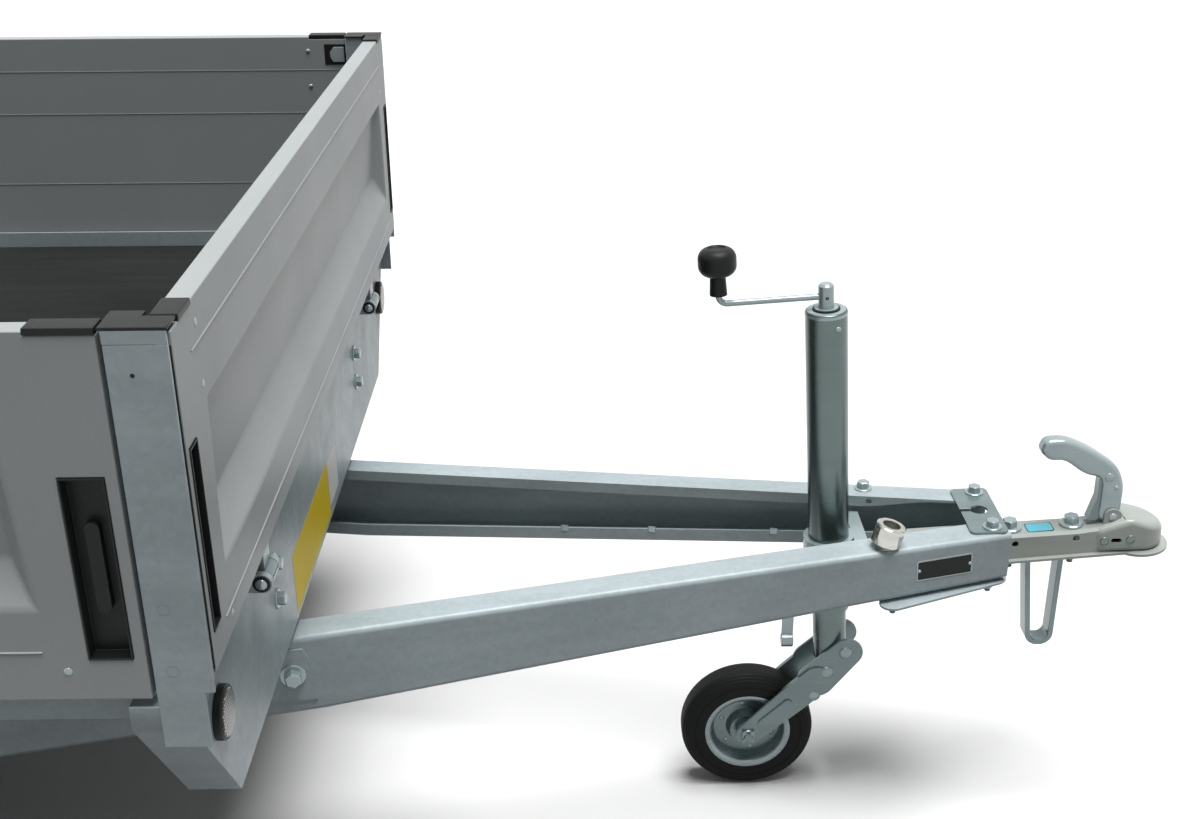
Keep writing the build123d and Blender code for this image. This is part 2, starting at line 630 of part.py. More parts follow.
# Drawbar beams: tapered channels with rolled lips, open to the inside
with BuildPart() as beam:
    with BuildSketch(BEAM_WEB):
        with BuildLine():
            Polyline(*beam_outline(BEAM_REAR_AHEAD, BEAM_NOSE_AHEAD, 0, 0), close=True)
        make_face()
    extrude(amount=BEAM_FLANGE)
    web = beam.faces().filter_by(BEAM_WEB).sort_by(Axis(BEAM_WEB.origin, BEAM_WEB.z_dir))[0]
    fillet(web.edges().filter_by(Axis.Z, reverse=True), BEAM_BEND_R)
    with BuildSketch(BEAM_WEB.offset(BEAM_T)):
        with BuildLine():
            Polyline(*beam_outline(BEAM_REAR_AHEAD - BEAM_CUT_PAST, BEAM_NOSE_AHEAD + BEAM_CUT_PAST,
                                   BEAM_T, BEAM_T), close=True)
        make_face()
    extrude(amount=BEAM_FLANGE - 2 * BEAM_T, mode=Mode.SUBTRACT)
    with BuildSketch(BEAM_WEB.offset(BEAM_FLANGE - BEAM_T)):
        with BuildLine():
            fade_rear, fade_nose = (BEAM_NOSE_AHEAD - back for back in LIP_FADE_BACK)
            low_lip = beam_outline(BEAM_REAR_AHEAD - BEAM_CUT_PAST, BEAM_NOSE_AHEAD + BEAM_CUT_PAST,
                                   BEAM_T, BEAM_LOW_LIP)[:3]
            fade = []
            for step in range(LIP_FADE_STEPS + 1):
                share = step / LIP_FADE_STEPS
                lip = BEAM_T + (BEAM_TOP_LIP - BEAM_T) * (1 - cos(pi * share)) / 2
                fade.append((fade_nose + (fade_rear - fade_nose) * share, lip))
            top_lip = [(along_beam(a), beam_top(a) - lip) for a, lip in (
                (BEAM_NOSE_AHEAD + BEAM_CUT_PAST, BEAM_T), *fade,
                (BEAM_REAR_AHEAD - BEAM_CUT_PAST, BEAM_TOP_LIP))]
            Polyline(*low_lip, *top_lip, close=True)
        make_face()
    extrude(amount=BEAM_T, mode=Mode.SUBTRACT)
    with BuildSketch(BEAM_WEB.offset(BEAM_FLANGE - BEAM_T)):
        hole_ahead = BEAM_NOSE_AHEAD - LIP_HOLE_BACK
        with Locations((along_beam(hole_ahead), beam_top(hole_ahead) - BEAM_TOP_LIP / 2)):
            Circle(LIP_HOLE_R)
    extrude(amount=BEAM_T, mode=Mode.SUBTRACT)
save_pair(beam, "drawbar_beam")

# Saddles between the beams and the frame above them, at the root and at the rear end
saddle_spots = (
    (-SADDLE_BACK - SADDLE_LENGTH, END_PLATE_BOTTOM),
    (BEAM_REAR_AHEAD + SADDLE_REAR_IN, CHASSIS_RAIL_BOTTOM),
)
with BuildPart() as saddles:
    for rear, seat in saddle_spots:
        nose = rear + SADDLE_LENGTH
        with BuildSketch(BEAM_WEB.offset(BEAM_BEND_R + SADDLE_EDGE)):
            with BuildLine():
                Polyline((along_beam(rear), beam_top(rear)), (along_beam(nose), beam_top(nose)),
                         (along_beam(nose), seat), (along_beam(rear), seat), close=True)
            make_face()
        extrude(amount=BEAM_FLANGE - BEAM_BEND_R - 2 * SADDLE_EDGE)
save_pair(saddles, "drawbar_saddles")

# Top bridge plate with the keyhole where a cable plug is parked, on the flanges' inner edges
bridge_seat = BEAM_ROOF.offset(BEAM_RISE * BEAM_FLANGE * sin(BEAM_TURN))
bridge_rear, bridge_nose = ((BEAM_NOSE_AHEAD - back) / cos(BEAM_PITCH)
                            for back in TOP_BRIDGE_BACK)
bridge_mid = (bridge_rear + bridge_nose) / 2
with BuildPart() as top_bridge:
    with BuildSketch(bridge_seat):
        with Locations((bridge_mid, 0)):
            RectangleRounded(bridge_nose - bridge_rear, 2 * TOP_BRIDGE_HALF, BEAM_BEND_R)
            Circle(PLUG_HOLE_R, mode=Mode.SUBTRACT)
        with Locations((bridge_rear, 0)):
            Rectangle(bridge_mid - bridge_rear, PLUG_SLOT,
                      align=(Align.MIN, Align.CENTER), mode=Mode.SUBTRACT)
    extrude(amount=BRIDGE_T)
save(top_bridge, "bridge_plate_top")

# Lower bridge plate under both beams, which the coupling is bolted down on
low_bridge_ends = (TUBE_AHEAD + TUBE_R + CLAMP_WALL + LOW_BRIDGE_TUBE_GAP,
                   BEAM_NOSE_AHEAD - LOW_BRIDGE_BACK)
with BuildPart() as low_bridge:
    with BuildSketch(NOSE_FLOOR):
        with BuildLine():
            corners = [(a / cos(NOSE_PITCH), BEAM_HALF_Y - BEAM_CLOSE * a - BEAM_BEND_R)
                       for a in low_bridge_ends]
            Polyline(*corners, *[(x, -y) for x, y in reversed(corners)], close=True)
        make_face()
    extrude(amount=-BRIDGE_T)
save(low_bridge, "bridge_plate_low")

# Coupling: pressed channel that runs into a domed head over the ball socket
head_x = (NOSE_AHEAD - HEAD_R - COUPLING_RIM) / cos(NOSE_PITCH)
tail_x = (TUBE_AHEAD + TUBE_R + CLAMP_WALL + COUPLING_TUBE_GAP) / cos(NOSE_PITCH)
head_plane = Plane(origin=NOSE_FLOOR.from_local_coords(Vector(head_x, 0, 0)),
                   x_dir=NOSE_FLOOR.x_dir, z_dir=NOSE_FLOOR.z_dir)
lever_ahead = NOSE_AHEAD - LEVER_PIVOT_BACK
lever_pivot = (FRONT_X + lever_ahead,
               NOSE_FLOOR.origin.Z + lever_ahead * (BEAM_RISE + BEAM_TAPER) + LEVER_PIVOT_RISE)
with BuildPart() as head:
    with BuildSketch(head_plane):
        Circle(HEAD_R)
    extrude(amount=HEAD_HEIGHT)
    fillet(head.faces().sort_by(Axis(head_plane.origin, head_plane.z_dir))[-1].edges(),
           HEAD_DOME_R)

with BuildPart() as coupling:
    with BuildSketch(NOSE_SIDE):
        with BuildLine():
            Polyline((tail_x, 0), (head_x, 0), *[(head_x - back, h) for back, h in COUPLING_TOP],
                     (tail_x, COUPLING_TAIL_H), close=True)
        make_face()
    extrude(amount=COUPLING_WIDTH / 2, both=True)
    top_long_edges = [e for e in coupling.edges()
                      if NOSE_FLOOR.to_local_coords(e.center()).Z > COUPLING_TOP[-1][1] - COUPLING_T
                      and abs(e.center().Y) > COUPLING_T]
    chamfer(top_long_edges, COUPLING_EDGE)
    add(head.part)
    with BuildSketch(NOSE_FLOOR):
        with Locations((head_x, 0)):
            Circle(HEAD_R + COUPLING_RIM)
            Rectangle(head_x - BEAM_NOSE_AHEAD / cos(NOSE_PITCH), COUPLING_WIDTH + 2 * COUPLING_RIM,
                      align=(Align.MAX, Align.CENTER))
    extrude(amount=COUPLING_T)
    with BuildSketch(NOSE_FLOOR):
        with Locations((head_x - HEAD_R, 0)):
            Rectangle(head_x - HEAD_R - tail_x, COUPLING_WIDTH - 2 * COUPLING_T,
                      align=(Align.MAX, Align.CENTER))
    extrude(amount=COUPLING_TOP[-1][1] - COUPLING_T, mode=Mode.SUBTRACT)
    with BuildSketch(NOSE_SIDE):
        with Locations(*[(head_x - back, h) for back, h in SIDE_HOLES]):
            Circle(SIDE_HOLE_R)
        with Locations((head_x - SIDE_SLOT_BACK, SIDE_SLOT_H)):
            SlotOverall(SIDE_SLOT_LENGTH, SIDE_SLOT_W)
    extrude(amount=2 * HEAD_R, both=True, mode=Mode.SUBTRACT)
    with BuildSketch(head_plane):
        Circle(SOCKET_R)
    extrude(amount=SOCKET_DEPTH, mode=Mode.SUBTRACT)
    with Locations(head_plane.offset(SOCKET_DEPTH)):
        Sphere(SOCKET_R + SOCKET_RELIEF, mode=Mode.SUBTRACT)
    for side in (-1, 1):
        with BuildSketch(Plane.XZ.offset(side * (LEVER_W + 2 * FIT_GAP + EAR_T) / 2)):
            with Locations(lever_pivot):
                Circle(EAR_R)
                Rectangle(2 * EAR_R, LEVER_PIVOT_RISE - COUPLING_TOP[-1][1] + COUPLING_T,
                          align=(Align.CENTER, Align.MAX))
        extrude(amount=EAR_T / 2, both=True)
save(coupling, "coupling_head")

# Coupling lever: a bent grip that stands up from between two ears on the channel
with BuildPart() as lever:
    with BuildSketch(Plane.XZ):
        with BuildLine():
            Polyline(*[(lever_pivot[0] + x, lever_pivot[1] + z) for x, z in LEVER_OUTLINE],
                     close=True)
        make_face()
        fillet(vertices(), LEVER_CORNER_R)
    extrude(amount=LEVER_W / 2, both=True)
    fillet(lever.faces().filter_by(Axis.Y).edges(), LEVER_EDGE_R)
save(lever, "coupling_lever")

# Parking foot: a flat bar bent into a loop, on a plate bolted under the coupling's rim
foot_top = NOSE_FLOOR.origin.Z + NOSE_AHEAD * (BEAM_RISE + BEAM_TAPER)
foot_low = foot_top - FOOT_DROP
with BuildPart() as foot:
    with BuildSketch(Plane.XZ):
        with BuildLine():
            nose_x = FRONT_X + NOSE_AHEAD
            FilletPolyline(
                (nose_x - FOOT_REAR_BACK[0], foot_top),
                (nose_x - FOOT_REAR_BACK[1], foot_low),
                (nose_x - FOOT_FRONT_BACK, foot_low),
                (nose_x - FOOT_FRONT_BACK, foot_top),
                radius=FOOT_TURN_R)
        trace(line_width=FOOT_BAR_T)
    extrude(amount=FOOT_BAR_W / 2, both=True)
    split(bisect_by=NOSE_FLOOR, keep=Keep.BOTTOM)
    with BuildSketch(NOSE_FLOOR):
        plate_mid = NOSE_AHEAD - (FOOT_REAR_BACK[0] + FOOT_FRONT_BACK) / 2
        with Locations((plate_mid / cos(NOSE_PITCH), 0)):
            RectangleRounded(FOOT_PLATE_LENGTH, COUPLING_WIDTH, FOOT_BAR_T)
    extrude(amount=-BRIDGE_T)
save(foot, "parking_foot")

# Jockey outer tube, closed at the top
with BuildPart() as outer_tube:
    with BuildSketch(TUBE_AXIS.offset(-TUBE_DOWN)):
        Circle(TUBE_R)
        Circle(LEG_R + FIT_GAP, mode=Mode.SUBTRACT)
    extrude(amount=TUBE_DOWN + TUBE_UP)
    with BuildSketch(TUBE_AXIS.offset(TUBE_UP - 2 * LEG_T)):
        Circle(TUBE_R)
    extrude(amount=2 * LEG_T)
    fillet(outer_tube.faces().sort_by(Axis(TUBE_AXIS.origin, TUBE_AXIS.z_dir))[-1].edges(), LEG_T)
save(outer_tube, "jockey_outer_tube")

# Clamp: a collar round the tube on a cross angle that spans the beams' lips
inner_lip = BEAM_WEB.offset(BEAM_FLANGE)
other_lip = Plane(origin=(inner_lip.origin.X, -inner_lip.origin.Y, 0),
                  z_dir=(inner_lip.z_dir.X, -inner_lip.z_dir.Y, 0))
bar_x = TUBE_R + CLAMP_WALL - CLAMP_BAR_GAP
with BuildPart() as clamp:
    with BuildSketch(TUBE_AXIS.offset(-CLAMP_HEIGHT / 2)):
        Circle(TUBE_R + CLAMP_WALL)
        with Locations((bar_x, 0)):
            Rectangle(CLAMP_BAR_T, 2 * BEAM_HALF_Y, align=(Align.MIN, Align.CENTER))
        Circle(TUBE_R, mode=Mode.SUBTRACT)
    extrude(amount=CLAMP_HEIGHT)
    with BuildSketch(TUBE_AXIS.offset(CLAMP_HEIGHT / 2)):
        with Locations((bar_x, 0)):
            Rectangle(CLAMP_BAR_W, 2 * BEAM_HALF_Y, align=(Align.MIN, Align.CENTER))
    extrude(amount=-CLAMP_BAR_T)
    split(bisect_by=inner_lip, keep=Keep.TOP)
    split(bisect_by=other_lip, keep=Keep.TOP)
save(clamp, "jockey_clamp")

# Crank: collar and hub on the spindle, and a rod rearward with its end turned up
crank_z = TUBE_UP + CRANK_HUB_TOP / 2
crank_root = TUBE_AXIS.from_local_coords(Vector(0, 0, crank_z))
crank_elbow = TUBE_AXIS.from_local_coords(Vector(-CRANK_REACH, 0, crank_z))
crank_end = TUBE_AXIS.from_local_coords(Vector(-CRANK_REACH, 0, crank_z + CRANK_RISE))
with BuildPart() as crank:
    with BuildSketch(TUBE_AXIS.offset(TUBE_UP)):
        Circle(CRANK_HUB_R)
    extrude(amount=CRANK_HUB_TOP)
    chamfer(crank.faces().sort_by(Axis(TUBE_AXIS.origin, TUBE_AXIS.z_dir))[-1].edges(),
            CRANK_HUB_EDGE)
    with BuildSketch(TUBE_AXIS.offset(TUBE_UP)):
        Circle(COLLAR_R)
    extrude(amount=COLLAR_T)
    with BuildSketch(Plane(origin=crank_root, z_dir=(0, 1, 0))):
        Circle(CRANK_HOLE_R)
    extrude(amount=2 * CRANK_HUB_R, both=True, mode=Mode.SUBTRACT)
    with BuildLine():
        FilletPolyline(crank_root, crank_elbow, crank_end, radius=CRANK_BEND_R)
    with BuildSketch(Plane(origin=crank_root, z_dir=-TUBE_AXIS.x_dir)):
        Circle(CRANK_ROD_R)
    sweep()
save(crank, "jockey_crank")

# Knob: a tapered stem under a rounded cap with a shallow dish in its top
knob_base = Plane(origin=crank_end, x_dir=TUBE_AXIS.x_dir, z_dir=TUBE_AXIS.z_dir)
with BuildPart() as cap_of_knob:
    with BuildSketch(knob_base.offset(KNOB_STEM)):
        Circle(KNOB_R)
    extrude(amount=KNOB_HEIGHT)
    fillet(cap_of_knob.edges().filter_by(GeomType.CIRCLE), KNOB_EDGE_R)
    with BuildSketch(knob_base.offset(KNOB_STEM + KNOB_HEIGHT)):
        Circle(KNOB_DISH_R)
    extrude(amount=-KNOB_DISH, taper=45, mode=Mode.SUBTRACT)
with BuildPart() as knob:
    with BuildSketch(knob_base):
        Circle(KNOB_STEM_R[0])
    with BuildSketch(knob_base.offset(KNOB_STEM)):
        Circle(KNOB_STEM_R[1])
    loft()
    add(cap_of_knob.part)
save(knob, "jockey_knob")

# Jockey leg that slides in the tube
with BuildPart() as leg:
    with BuildSketch(TUBE_AXIS.offset(-LEG_DOWN)):
        Circle(LEG_R)
        Circle(LEG_R - LEG_T, mode=Mode.SUBTRACT)
    extrude(amount=LEG_DOWN + LEG_UP)
    with BuildSketch(TUBE_AXIS.offset(-LEG_DOWN)):
        Circle(LEG_R)
    extrude(amount=2 * LEG_T)
save(leg, "jockey_leg")

# Jockey fork: a bearing shoe under the leg, two joggled cheeks and the wheel pin
arm_in = JOCKEY_TYRE_W / 2 + RUN_GAP
plate_in = arm_in - FORK_JOGGLE + FORK_T / 2
jockey_axle = (FRONT_X + TUBE_AHEAD - JOCKEY_TRAIL, JOCKEY_WHEEL_R)
fork_lobe = (FRONT_X + TUBE_AHEAD + FORK_LOBE_FORWARD, FORK_LOBE_Z)
fork_knee = (FRONT_X + TUBE_AHEAD - FORK_KNEE_BACK, FORK_KNEE_Z)


def fork_point(share):
    """Return a point on the arm's middle line, from the knee to the wheel's axle."""
    return tuple(k + share * (a - k) for k, a in zip(fork_knee, jockey_axle))


fork_shoulder = fork_point(FORK_SHOULDER_SHARE)
CHEEK_LAYERS = (
    (((fork_lobe, FORK_LOBE_R), (fork_knee, FORK_KNEE_R)), plate_in, FORK_T),
    (((fork_knee, FORK_SHOULDER_R), (fork_shoulder, FORK_SHOULDER_R)), plate_in,
     FORK_T + FORK_JOGGLE - FORK_T / 2),
    (((fork_shoulder, FORK_SHOULDER_R), (jockey_axle, FORK_EYE_R)), arm_in, FORK_T),
    (tuple((fork_point(share), FORK_RIB_R) for share in FORK_RIB_SHARES), arm_in + FORK_T,
     FORK_RIB_T),
)
with BuildPart() as fork:
    for side in (-1, 1):
        for ((a, a_r), (b, b_r)), inner, thick in CHEEK_LAYERS:
            with BuildSketch(Plane.XZ.offset(side * inner)):
                with Locations(a):
                    Circle(a_r)
                with Locations(b):
                    Circle(b_r)
                make_hull()
            extrude(amount=side * thick)
    with BuildSketch(TUBE_AXIS.offset(-LEG_DOWN - FIT_GAP)):
        Rectangle(FORK_KNEE_R, 2 * plate_in)
    extrude(amount=-2 * FORK_T)
    with BuildSketch(Plane.XZ):
        with Locations(jockey_axle):
            Circle(JOCKEY_PIN_R)
    extrude(amount=arm_in + 3 * FORK_T, both=True)
save(fork, "jockey_fork")

# Jockey wheel: two pressed dishes riveted back to back round a hub, and a solid tyre
jockey_line = Axis((jockey_axle[0], 0, jockey_axle[1]), (0, 1, 0))
jockey_section = Plane(origin=(jockey_axle[0], 0, jockey_axle[1]), x_dir=(0, 1, 0),
                       z_dir=(1, 0, 0))
rim_half = JOCKEY_TYRE_W / 2 - JOCKEY_RIM_EDGE
boss_foot, boss_top, hub_r = JOCKEY_BOSS_R
rim_profile = (
    (rim_half, JOCKEY_RIM_R), (rim_half, JOCKEY_RIM_R - JOCKEY_RIM_T),
    (JOCKEY_PAN_HALF, JOCKEY_PAN_R), (JOCKEY_PAN_HALF, boss_foot), (JOCKEY_BOSS_HALF, boss_top),
    (JOCKEY_BOSS_HALF, hub_r), (JOCKEY_HUB_END, hub_r), (JOCKEY_HUB_END, JOCKEY_PIN_R + FIT_GAP),
)
with BuildPart() as jockey_rim:
    with BuildSketch(jockey_section):
        with BuildLine():
            Polyline(*rim_profile, *[(-x, r) for x, r in reversed(rim_profile)], close=True)
        make_face()
    revolve(axis=jockey_line)
save(jockey_rim, "jockey_rim")

with BuildPart() as jockey_tyre:
    with BuildSketch(jockey_section):
        with Locations((0, (JOCKEY_WHEEL_R + JOCKEY_RIM_R) / 2)):
            Rectangle(JOCKEY_TYRE_W, JOCKEY_WHEEL_R - JOCKEY_RIM_R)
        fillet(vertices().sort_by(Axis.Z)[-2:], JOCKEY_SHOULDER_R)
    revolve(axis=jockey_line)
save(jockey_tyre, "jockey_tyre")

# Axle: square tube, its two brackets and the trailing arms with their stubs
with BuildPart() as axle:
    with BuildSketch(Plane.XZ):
        with Locations((ARM_PIVOT_X, ARM_PIVOT_Z)):
            RectangleRounded(AXLE_TUBE, AXLE_TUBE, 2 * AXLE_TUBE_T)
            RectangleRounded(AXLE_TUBE - 2 * AXLE_TUBE_T, AXLE_TUBE - 2 * AXLE_TUBE_T,
                             AXLE_TUBE_T, mode=Mode.SUBTRACT)
    extrude(amount=ARM_IN_Y, both=True)
save(axle, "axle_tube")

bracket_z = ARM_PIVOT_Z + AXLE_TUBE / 2
with BuildPart() as axle_bracket:
    with BuildSketch(Plane.XZ.offset(-CHASSIS_RAIL_Y + CHASSIS_RAIL_FLANGE / 2)):
        with Locations((ARM_PIVOT_X, (bracket_z + CHASSIS_RAIL_BOTTOM) / 2)):
            Rectangle(AXLE_BRACKET_X, CHASSIS_RAIL_BOTTOM - bracket_z)
    extrude(amount=AXLE_BRACKET_T / 2, both=True)
save_pair(axle_bracket, "axle_bracket")

with BuildPart() as arm:
    with BuildSketch(Plane.XZ.offset(-ARM_IN_Y)):
        with Locations((ARM_PIVOT_X, ARM_PIVOT_Z)):
            Circle(ARM_R[0])
        with Locations((AXLE_X, TYRE_R)):
            Circle(ARM_R[1])
        make_hull()
    extrude(amount=-ARM_T)
    with BuildSketch(Plane.XZ.offset(-ARM_OUT_Y)):
        with Locations((AXLE_X, TYRE_R)):
            Circle(STUB_R)
    extrude(amount=-(WHEEL_Y + DISC_OUT - ARM_OUT_Y - 2 * RIM_T))
save_pair(arm, "axle_arm")

# Road wheels: hub, pressed steel rim and tyre, turned about the stub
turn_axis = Axis((AXLE_X, WHEEL_Y, TYRE_R), (0, 1, 0))
section = Plane(origin=(AXLE_X, WHEEL_Y, TYRE_R), x_dir=(0, 1, 0), z_dir=(1, 0, 0))
hub_in = ARM_OUT_Y + RUN_GAP - WHEEL_Y
stub_end = DISC_OUT - 2 * RIM_T + FIT_GAP
stub_hole = STUB_R + FIT_GAP
with BuildPart() as hub:
    with BuildSketch(section):
        with BuildLine():
            Polyline(
                (hub_in, stub_hole), (hub_in, HUB_R), (DISC_OUT - HUB_FLANGE_T, HUB_R),
                (DISC_OUT - HUB_FLANGE_T, HUB_FLANGE_R), (DISC_OUT, HUB_FLANGE_R),
                (DISC_OUT, HUB_CAP_R[0]), (DISC_OUT + HUB_CAP_OUT, HUB_CAP_R[1]),
                (DISC_OUT + HUB_CAP_OUT, 0), (stub_end, 0), (stub_end, stub_hole), close=True)
        make_face()
    revolve(axis=turn_axis)
save_pair(hub, "wheel_hub")

# Rim: an even sheet with a well, flanges at both edges and a disc on its outer side
flange_half = RIM_HALF_W - RIM_T
well_r = RIM_SEAT_R - RIM_WELL
well_in, well_out = RIM_WELL_AT
barrel = ((-flange_half, RIM_SEAT_R), (well_in - RIM_WELL_SLOPE, RIM_SEAT_R), (well_in, well_r),
          (well_out, well_r), (well_out + RIM_WELL_SLOPE, RIM_SEAT_R), (flange_half, RIM_SEAT_R))
with BuildPart() as rim:
    with BuildSketch(section):
        with BuildLine():
            Polyline((-RIM_HALF_W, RIM_FLANGE_R), (-flange_half, RIM_FLANGE_R), *barrel,
                     (flange_half, RIM_FLANGE_R), (RIM_HALF_W, RIM_FLANGE_R),
                     (RIM_HALF_W, RIM_SEAT_R - RIM_T),
                     *[(x, r - RIM_T) for x, r in reversed(barrel[1:-1])],
                     (-RIM_HALF_W, RIM_SEAT_R - RIM_T), close=True)
        make_face()
        with BuildLine():
            Polyline((well_out, well_r - RIM_T), (DISC_OUT + DISC_CROWN + RIM_T, DISC_CROWN_R),
                     (DISC_OUT + RIM_T, DISC_SEAT_R), (DISC_OUT + RIM_T, DISC_BORE_R),
                     (DISC_OUT, DISC_BORE_R), (DISC_OUT, DISC_SEAT_R),
                     (DISC_OUT + DISC_CROWN, DISC_CROWN_R),
                     (well_out - 2 * RIM_T, well_r - RIM_T), close=True)
        make_face()
    revolve(axis=turn_axis)
    with BuildSketch(Plane(origin=(AXLE_X, WHEEL_Y, TYRE_R), z_dir=(0, 1, 0))):
        with PolarLocations(VENT_AT_R, VENT_COUNT):
            Circle(VENT_R)
    extrude(amount=RIM_HALF_W, mode=Mode.SUBTRACT)
save_pair(rim, "wheel_rim")

with BuildPart() as tyre:
    with BuildSketch(section):
        half = TYRE_W / 2
        wall = [(flange_half, RIM_SEAT_R), (flange_half, RIM_FLANGE_R + TYRE_BEAD),
                (half - TYRE_WALL_IN, RIM_FLANGE_R + TYRE_WALL), (half, TYRE_R - TYRE_BULGE),
                *[(half - inward, TYRE_R - below) for inward, below in TYRE_SHOULDER]]
        with BuildLine():
            Polyline(*wall, *[(-x, r) for x, r in reversed(wall)], close=True)
        make_face()
    revolve(axis=turn_axis)
save_pair(tyre, "wheel_tyre")

# Front reflectors on the end plate, and rear lamps let into theirs
with BuildPart() as reflectors:
    with BuildSketch(FRONT_FACE.offset(-FRAME_SET)):
        with Locations((REFLECTOR_IN - HALF_WIDTH, REFLECTOR_Z),
                       (HALF_WIDTH - REFLECTOR_IN, REFLECTOR_Z)):
            Circle(REFLECTOR_R)
    extrude(amount=REFLECTOR_T)
save(reflectors, "front_reflectors")

with BuildPart() as lamps:
    with BuildSketch(TAIL_FACE.offset(-FRAME_SET)):
        with Locations((LAMP_IN - HALF_WIDTH, LAMP_Z), (HALF_WIDTH - LAMP_IN, LAMP_Z)):
            RectangleRounded(LAMP_W, LAMP_H, LAMP_CORNER_R)
    extrude(amount=-LAMP_DEPTH)
    lenses = lamps.faces().filter_by(TAIL_FACE).sort_by(Axis(TAIL_FACE.origin, TAIL_FACE.z_dir))[-2:]
    fillet(lenses.edges(), LAMP_EDGE_R)
save(lamps, "rear_lamps")

# Faceted ring over the near bolt on the drawbar
ring_spot = BEAM_ROOF.from_local_coords(Vector(RING_AHEAD / cos(BEAM_PITCH), -RING_Y, 0))
ring_lift = RING_R * (sin(radians(RING_TILT)) + BEAM_RISE) + FIT_GAP
ring_lift += BEAM_RISE * BEAM_FLANGE * sin(BEAM_TURN)
ring_plane = Plane(origin=(ring_spot.X, ring_spot.Y, ring_spot.Z + ring_lift),
                   z_dir=(sin(radians(RING_TILT)), 0, cos(radians(RING_TILT))))
with BuildPart() as plug_ring:
    with BuildSketch(ring_plane):
        RegularPolygon(RING_R, RING_FACETS)
    extrude(amount=RING_HEIGHT)
    chamfer(plug_ring.edges().group_by(Axis(ring_plane.origin, ring_plane.z_dir))[-1], RING_EDGE)
    with BuildSketch(ring_plane.offset(RING_HEIGHT)):
        Circle(RING_HOLE_R)
    extrude(amount=-RING_HOLE_DEPTH, mode=Mode.SUBTRACT)
save(plug_ring, "plug_ring")
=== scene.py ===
"""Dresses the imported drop-side trailer with its finishes and the small parts it carries.

Metres, in the frame of the solids: X forward to the coupling, Y to the trailer's left, Z up.
Stations named *_ahead are measured forward from the front board's outer face.
"""
import json
import logging
import math
from dataclasses import dataclass
from enum import Enum
from typing import Callable, Iterable, Sequence

import bpy
from mathutils import Matrix, Vector


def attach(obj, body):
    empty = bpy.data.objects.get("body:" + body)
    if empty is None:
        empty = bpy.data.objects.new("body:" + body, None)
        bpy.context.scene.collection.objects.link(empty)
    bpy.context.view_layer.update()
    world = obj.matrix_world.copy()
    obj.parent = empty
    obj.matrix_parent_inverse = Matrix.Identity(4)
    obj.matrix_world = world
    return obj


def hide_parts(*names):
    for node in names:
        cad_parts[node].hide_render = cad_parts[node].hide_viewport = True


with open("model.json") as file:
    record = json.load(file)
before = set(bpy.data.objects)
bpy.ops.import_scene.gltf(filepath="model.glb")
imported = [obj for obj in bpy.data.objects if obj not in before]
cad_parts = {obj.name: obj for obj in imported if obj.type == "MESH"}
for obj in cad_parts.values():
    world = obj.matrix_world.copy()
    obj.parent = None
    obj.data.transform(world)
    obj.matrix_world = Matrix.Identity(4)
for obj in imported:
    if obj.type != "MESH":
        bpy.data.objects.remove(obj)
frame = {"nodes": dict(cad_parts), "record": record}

LOG = logging.getLogger("trailer")
Point = tuple[float, float, float]
Colour = tuple[float, float, float]
Outline = tuple[tuple[float, float], ...]
Piece = bpy.types.Object
Socket = bpy.types.NodeSocket

SIDES = (-1, 1)
FORWARD = (1, 0, 0)
# Outer faces of the boards
FRONT_X = 0.659
TAIL_X = -1.891
HALF_WIDTH = 0.7445
# Drawbar beams at the front board, and how they close and rise with each metre ahead
BEAM_HALF_Y = 0.2683
BEAM_CLOSE = 0.2017
BEAM_TOP_Z = 0.4493
BEAM_RISE = 0.0342
NOSE_FLOOR_Z = 0.3293
NOSE_RISE = 0.0812
BEAM_TURN = math.atan(BEAM_CLOSE)
ROOF_UP = Vector((-BEAM_RISE, 0.0, 1.0)).normalized()
NOSE_UP = Vector((-NOSE_RISE, 0.0, 1.0)).normalized()
HEAD_CENTRE = (1.848, 0.0, 0.42585)
HEAD_PLACE = (Matrix.Translation(HEAD_CENTRE)
              @ Matrix.Rotation(-math.atan(NOSE_RISE), 4, "Y"))
UPRIGHT = Matrix.Rotation(math.radians(90), 4, "X")
ON_Y = Matrix.Rotation(math.radians(-90), 4, "X")


def shifted(x: float, y: float, z: float) -> Matrix:
    """Return a move along the axes."""
    return Matrix.Translation((x, y, z))


def rotated(degrees: float, axis: str = "Z") -> Matrix:
    """Return a turn about one axis."""
    return Matrix.Rotation(math.radians(degrees), 4, axis)


def roof_point(ahead: float, y: float, lift: float = 0.0) -> Vector:
    """Return a point on the drawbar's top flanges.

    Args:
        ahead: Distance ahead of the front board.
        y: Place across the drawbar.
        lift: Height above the flange.

    Returns:
        The point.
    """
    return Vector((FRONT_X + ahead, y, BEAM_TOP_Z + BEAM_RISE * ahead)) + ROOF_UP * lift


def nose_point(ahead: float, y: float, lift: float = 0.0) -> Vector:
    """Return a point on the underside of the drawbar's nose.

    Args:
        ahead: Distance ahead of the front board.
        y: Place across the drawbar.
        lift: Height above the underside, below it when negative.

    Returns:
        The point.
    """
    return Vector((FRONT_X + ahead, y, NOSE_FLOOR_Z + NOSE_RISE * ahead)) + NOSE_UP * lift


def web_point(ahead: float, side: int, z: float) -> Vector:
    """Return a point on the outer face of one drawbar beam.

    Args:
        ahead: Distance ahead of the front board.
        side: 1 for the left beam, -1 for the right.
        z: Height above the ground.

    Returns:
        The point.
    """
    return Vector((FRONT_X + ahead, side * (BEAM_HALF_Y - BEAM_CLOSE * ahead), z))


def web_out(side: int) -> Vector:
    """Return the way that a beam's outer face looks."""
    return Vector((math.sin(BEAM_TURN), side * math.cos(BEAM_TURN), 0.0))


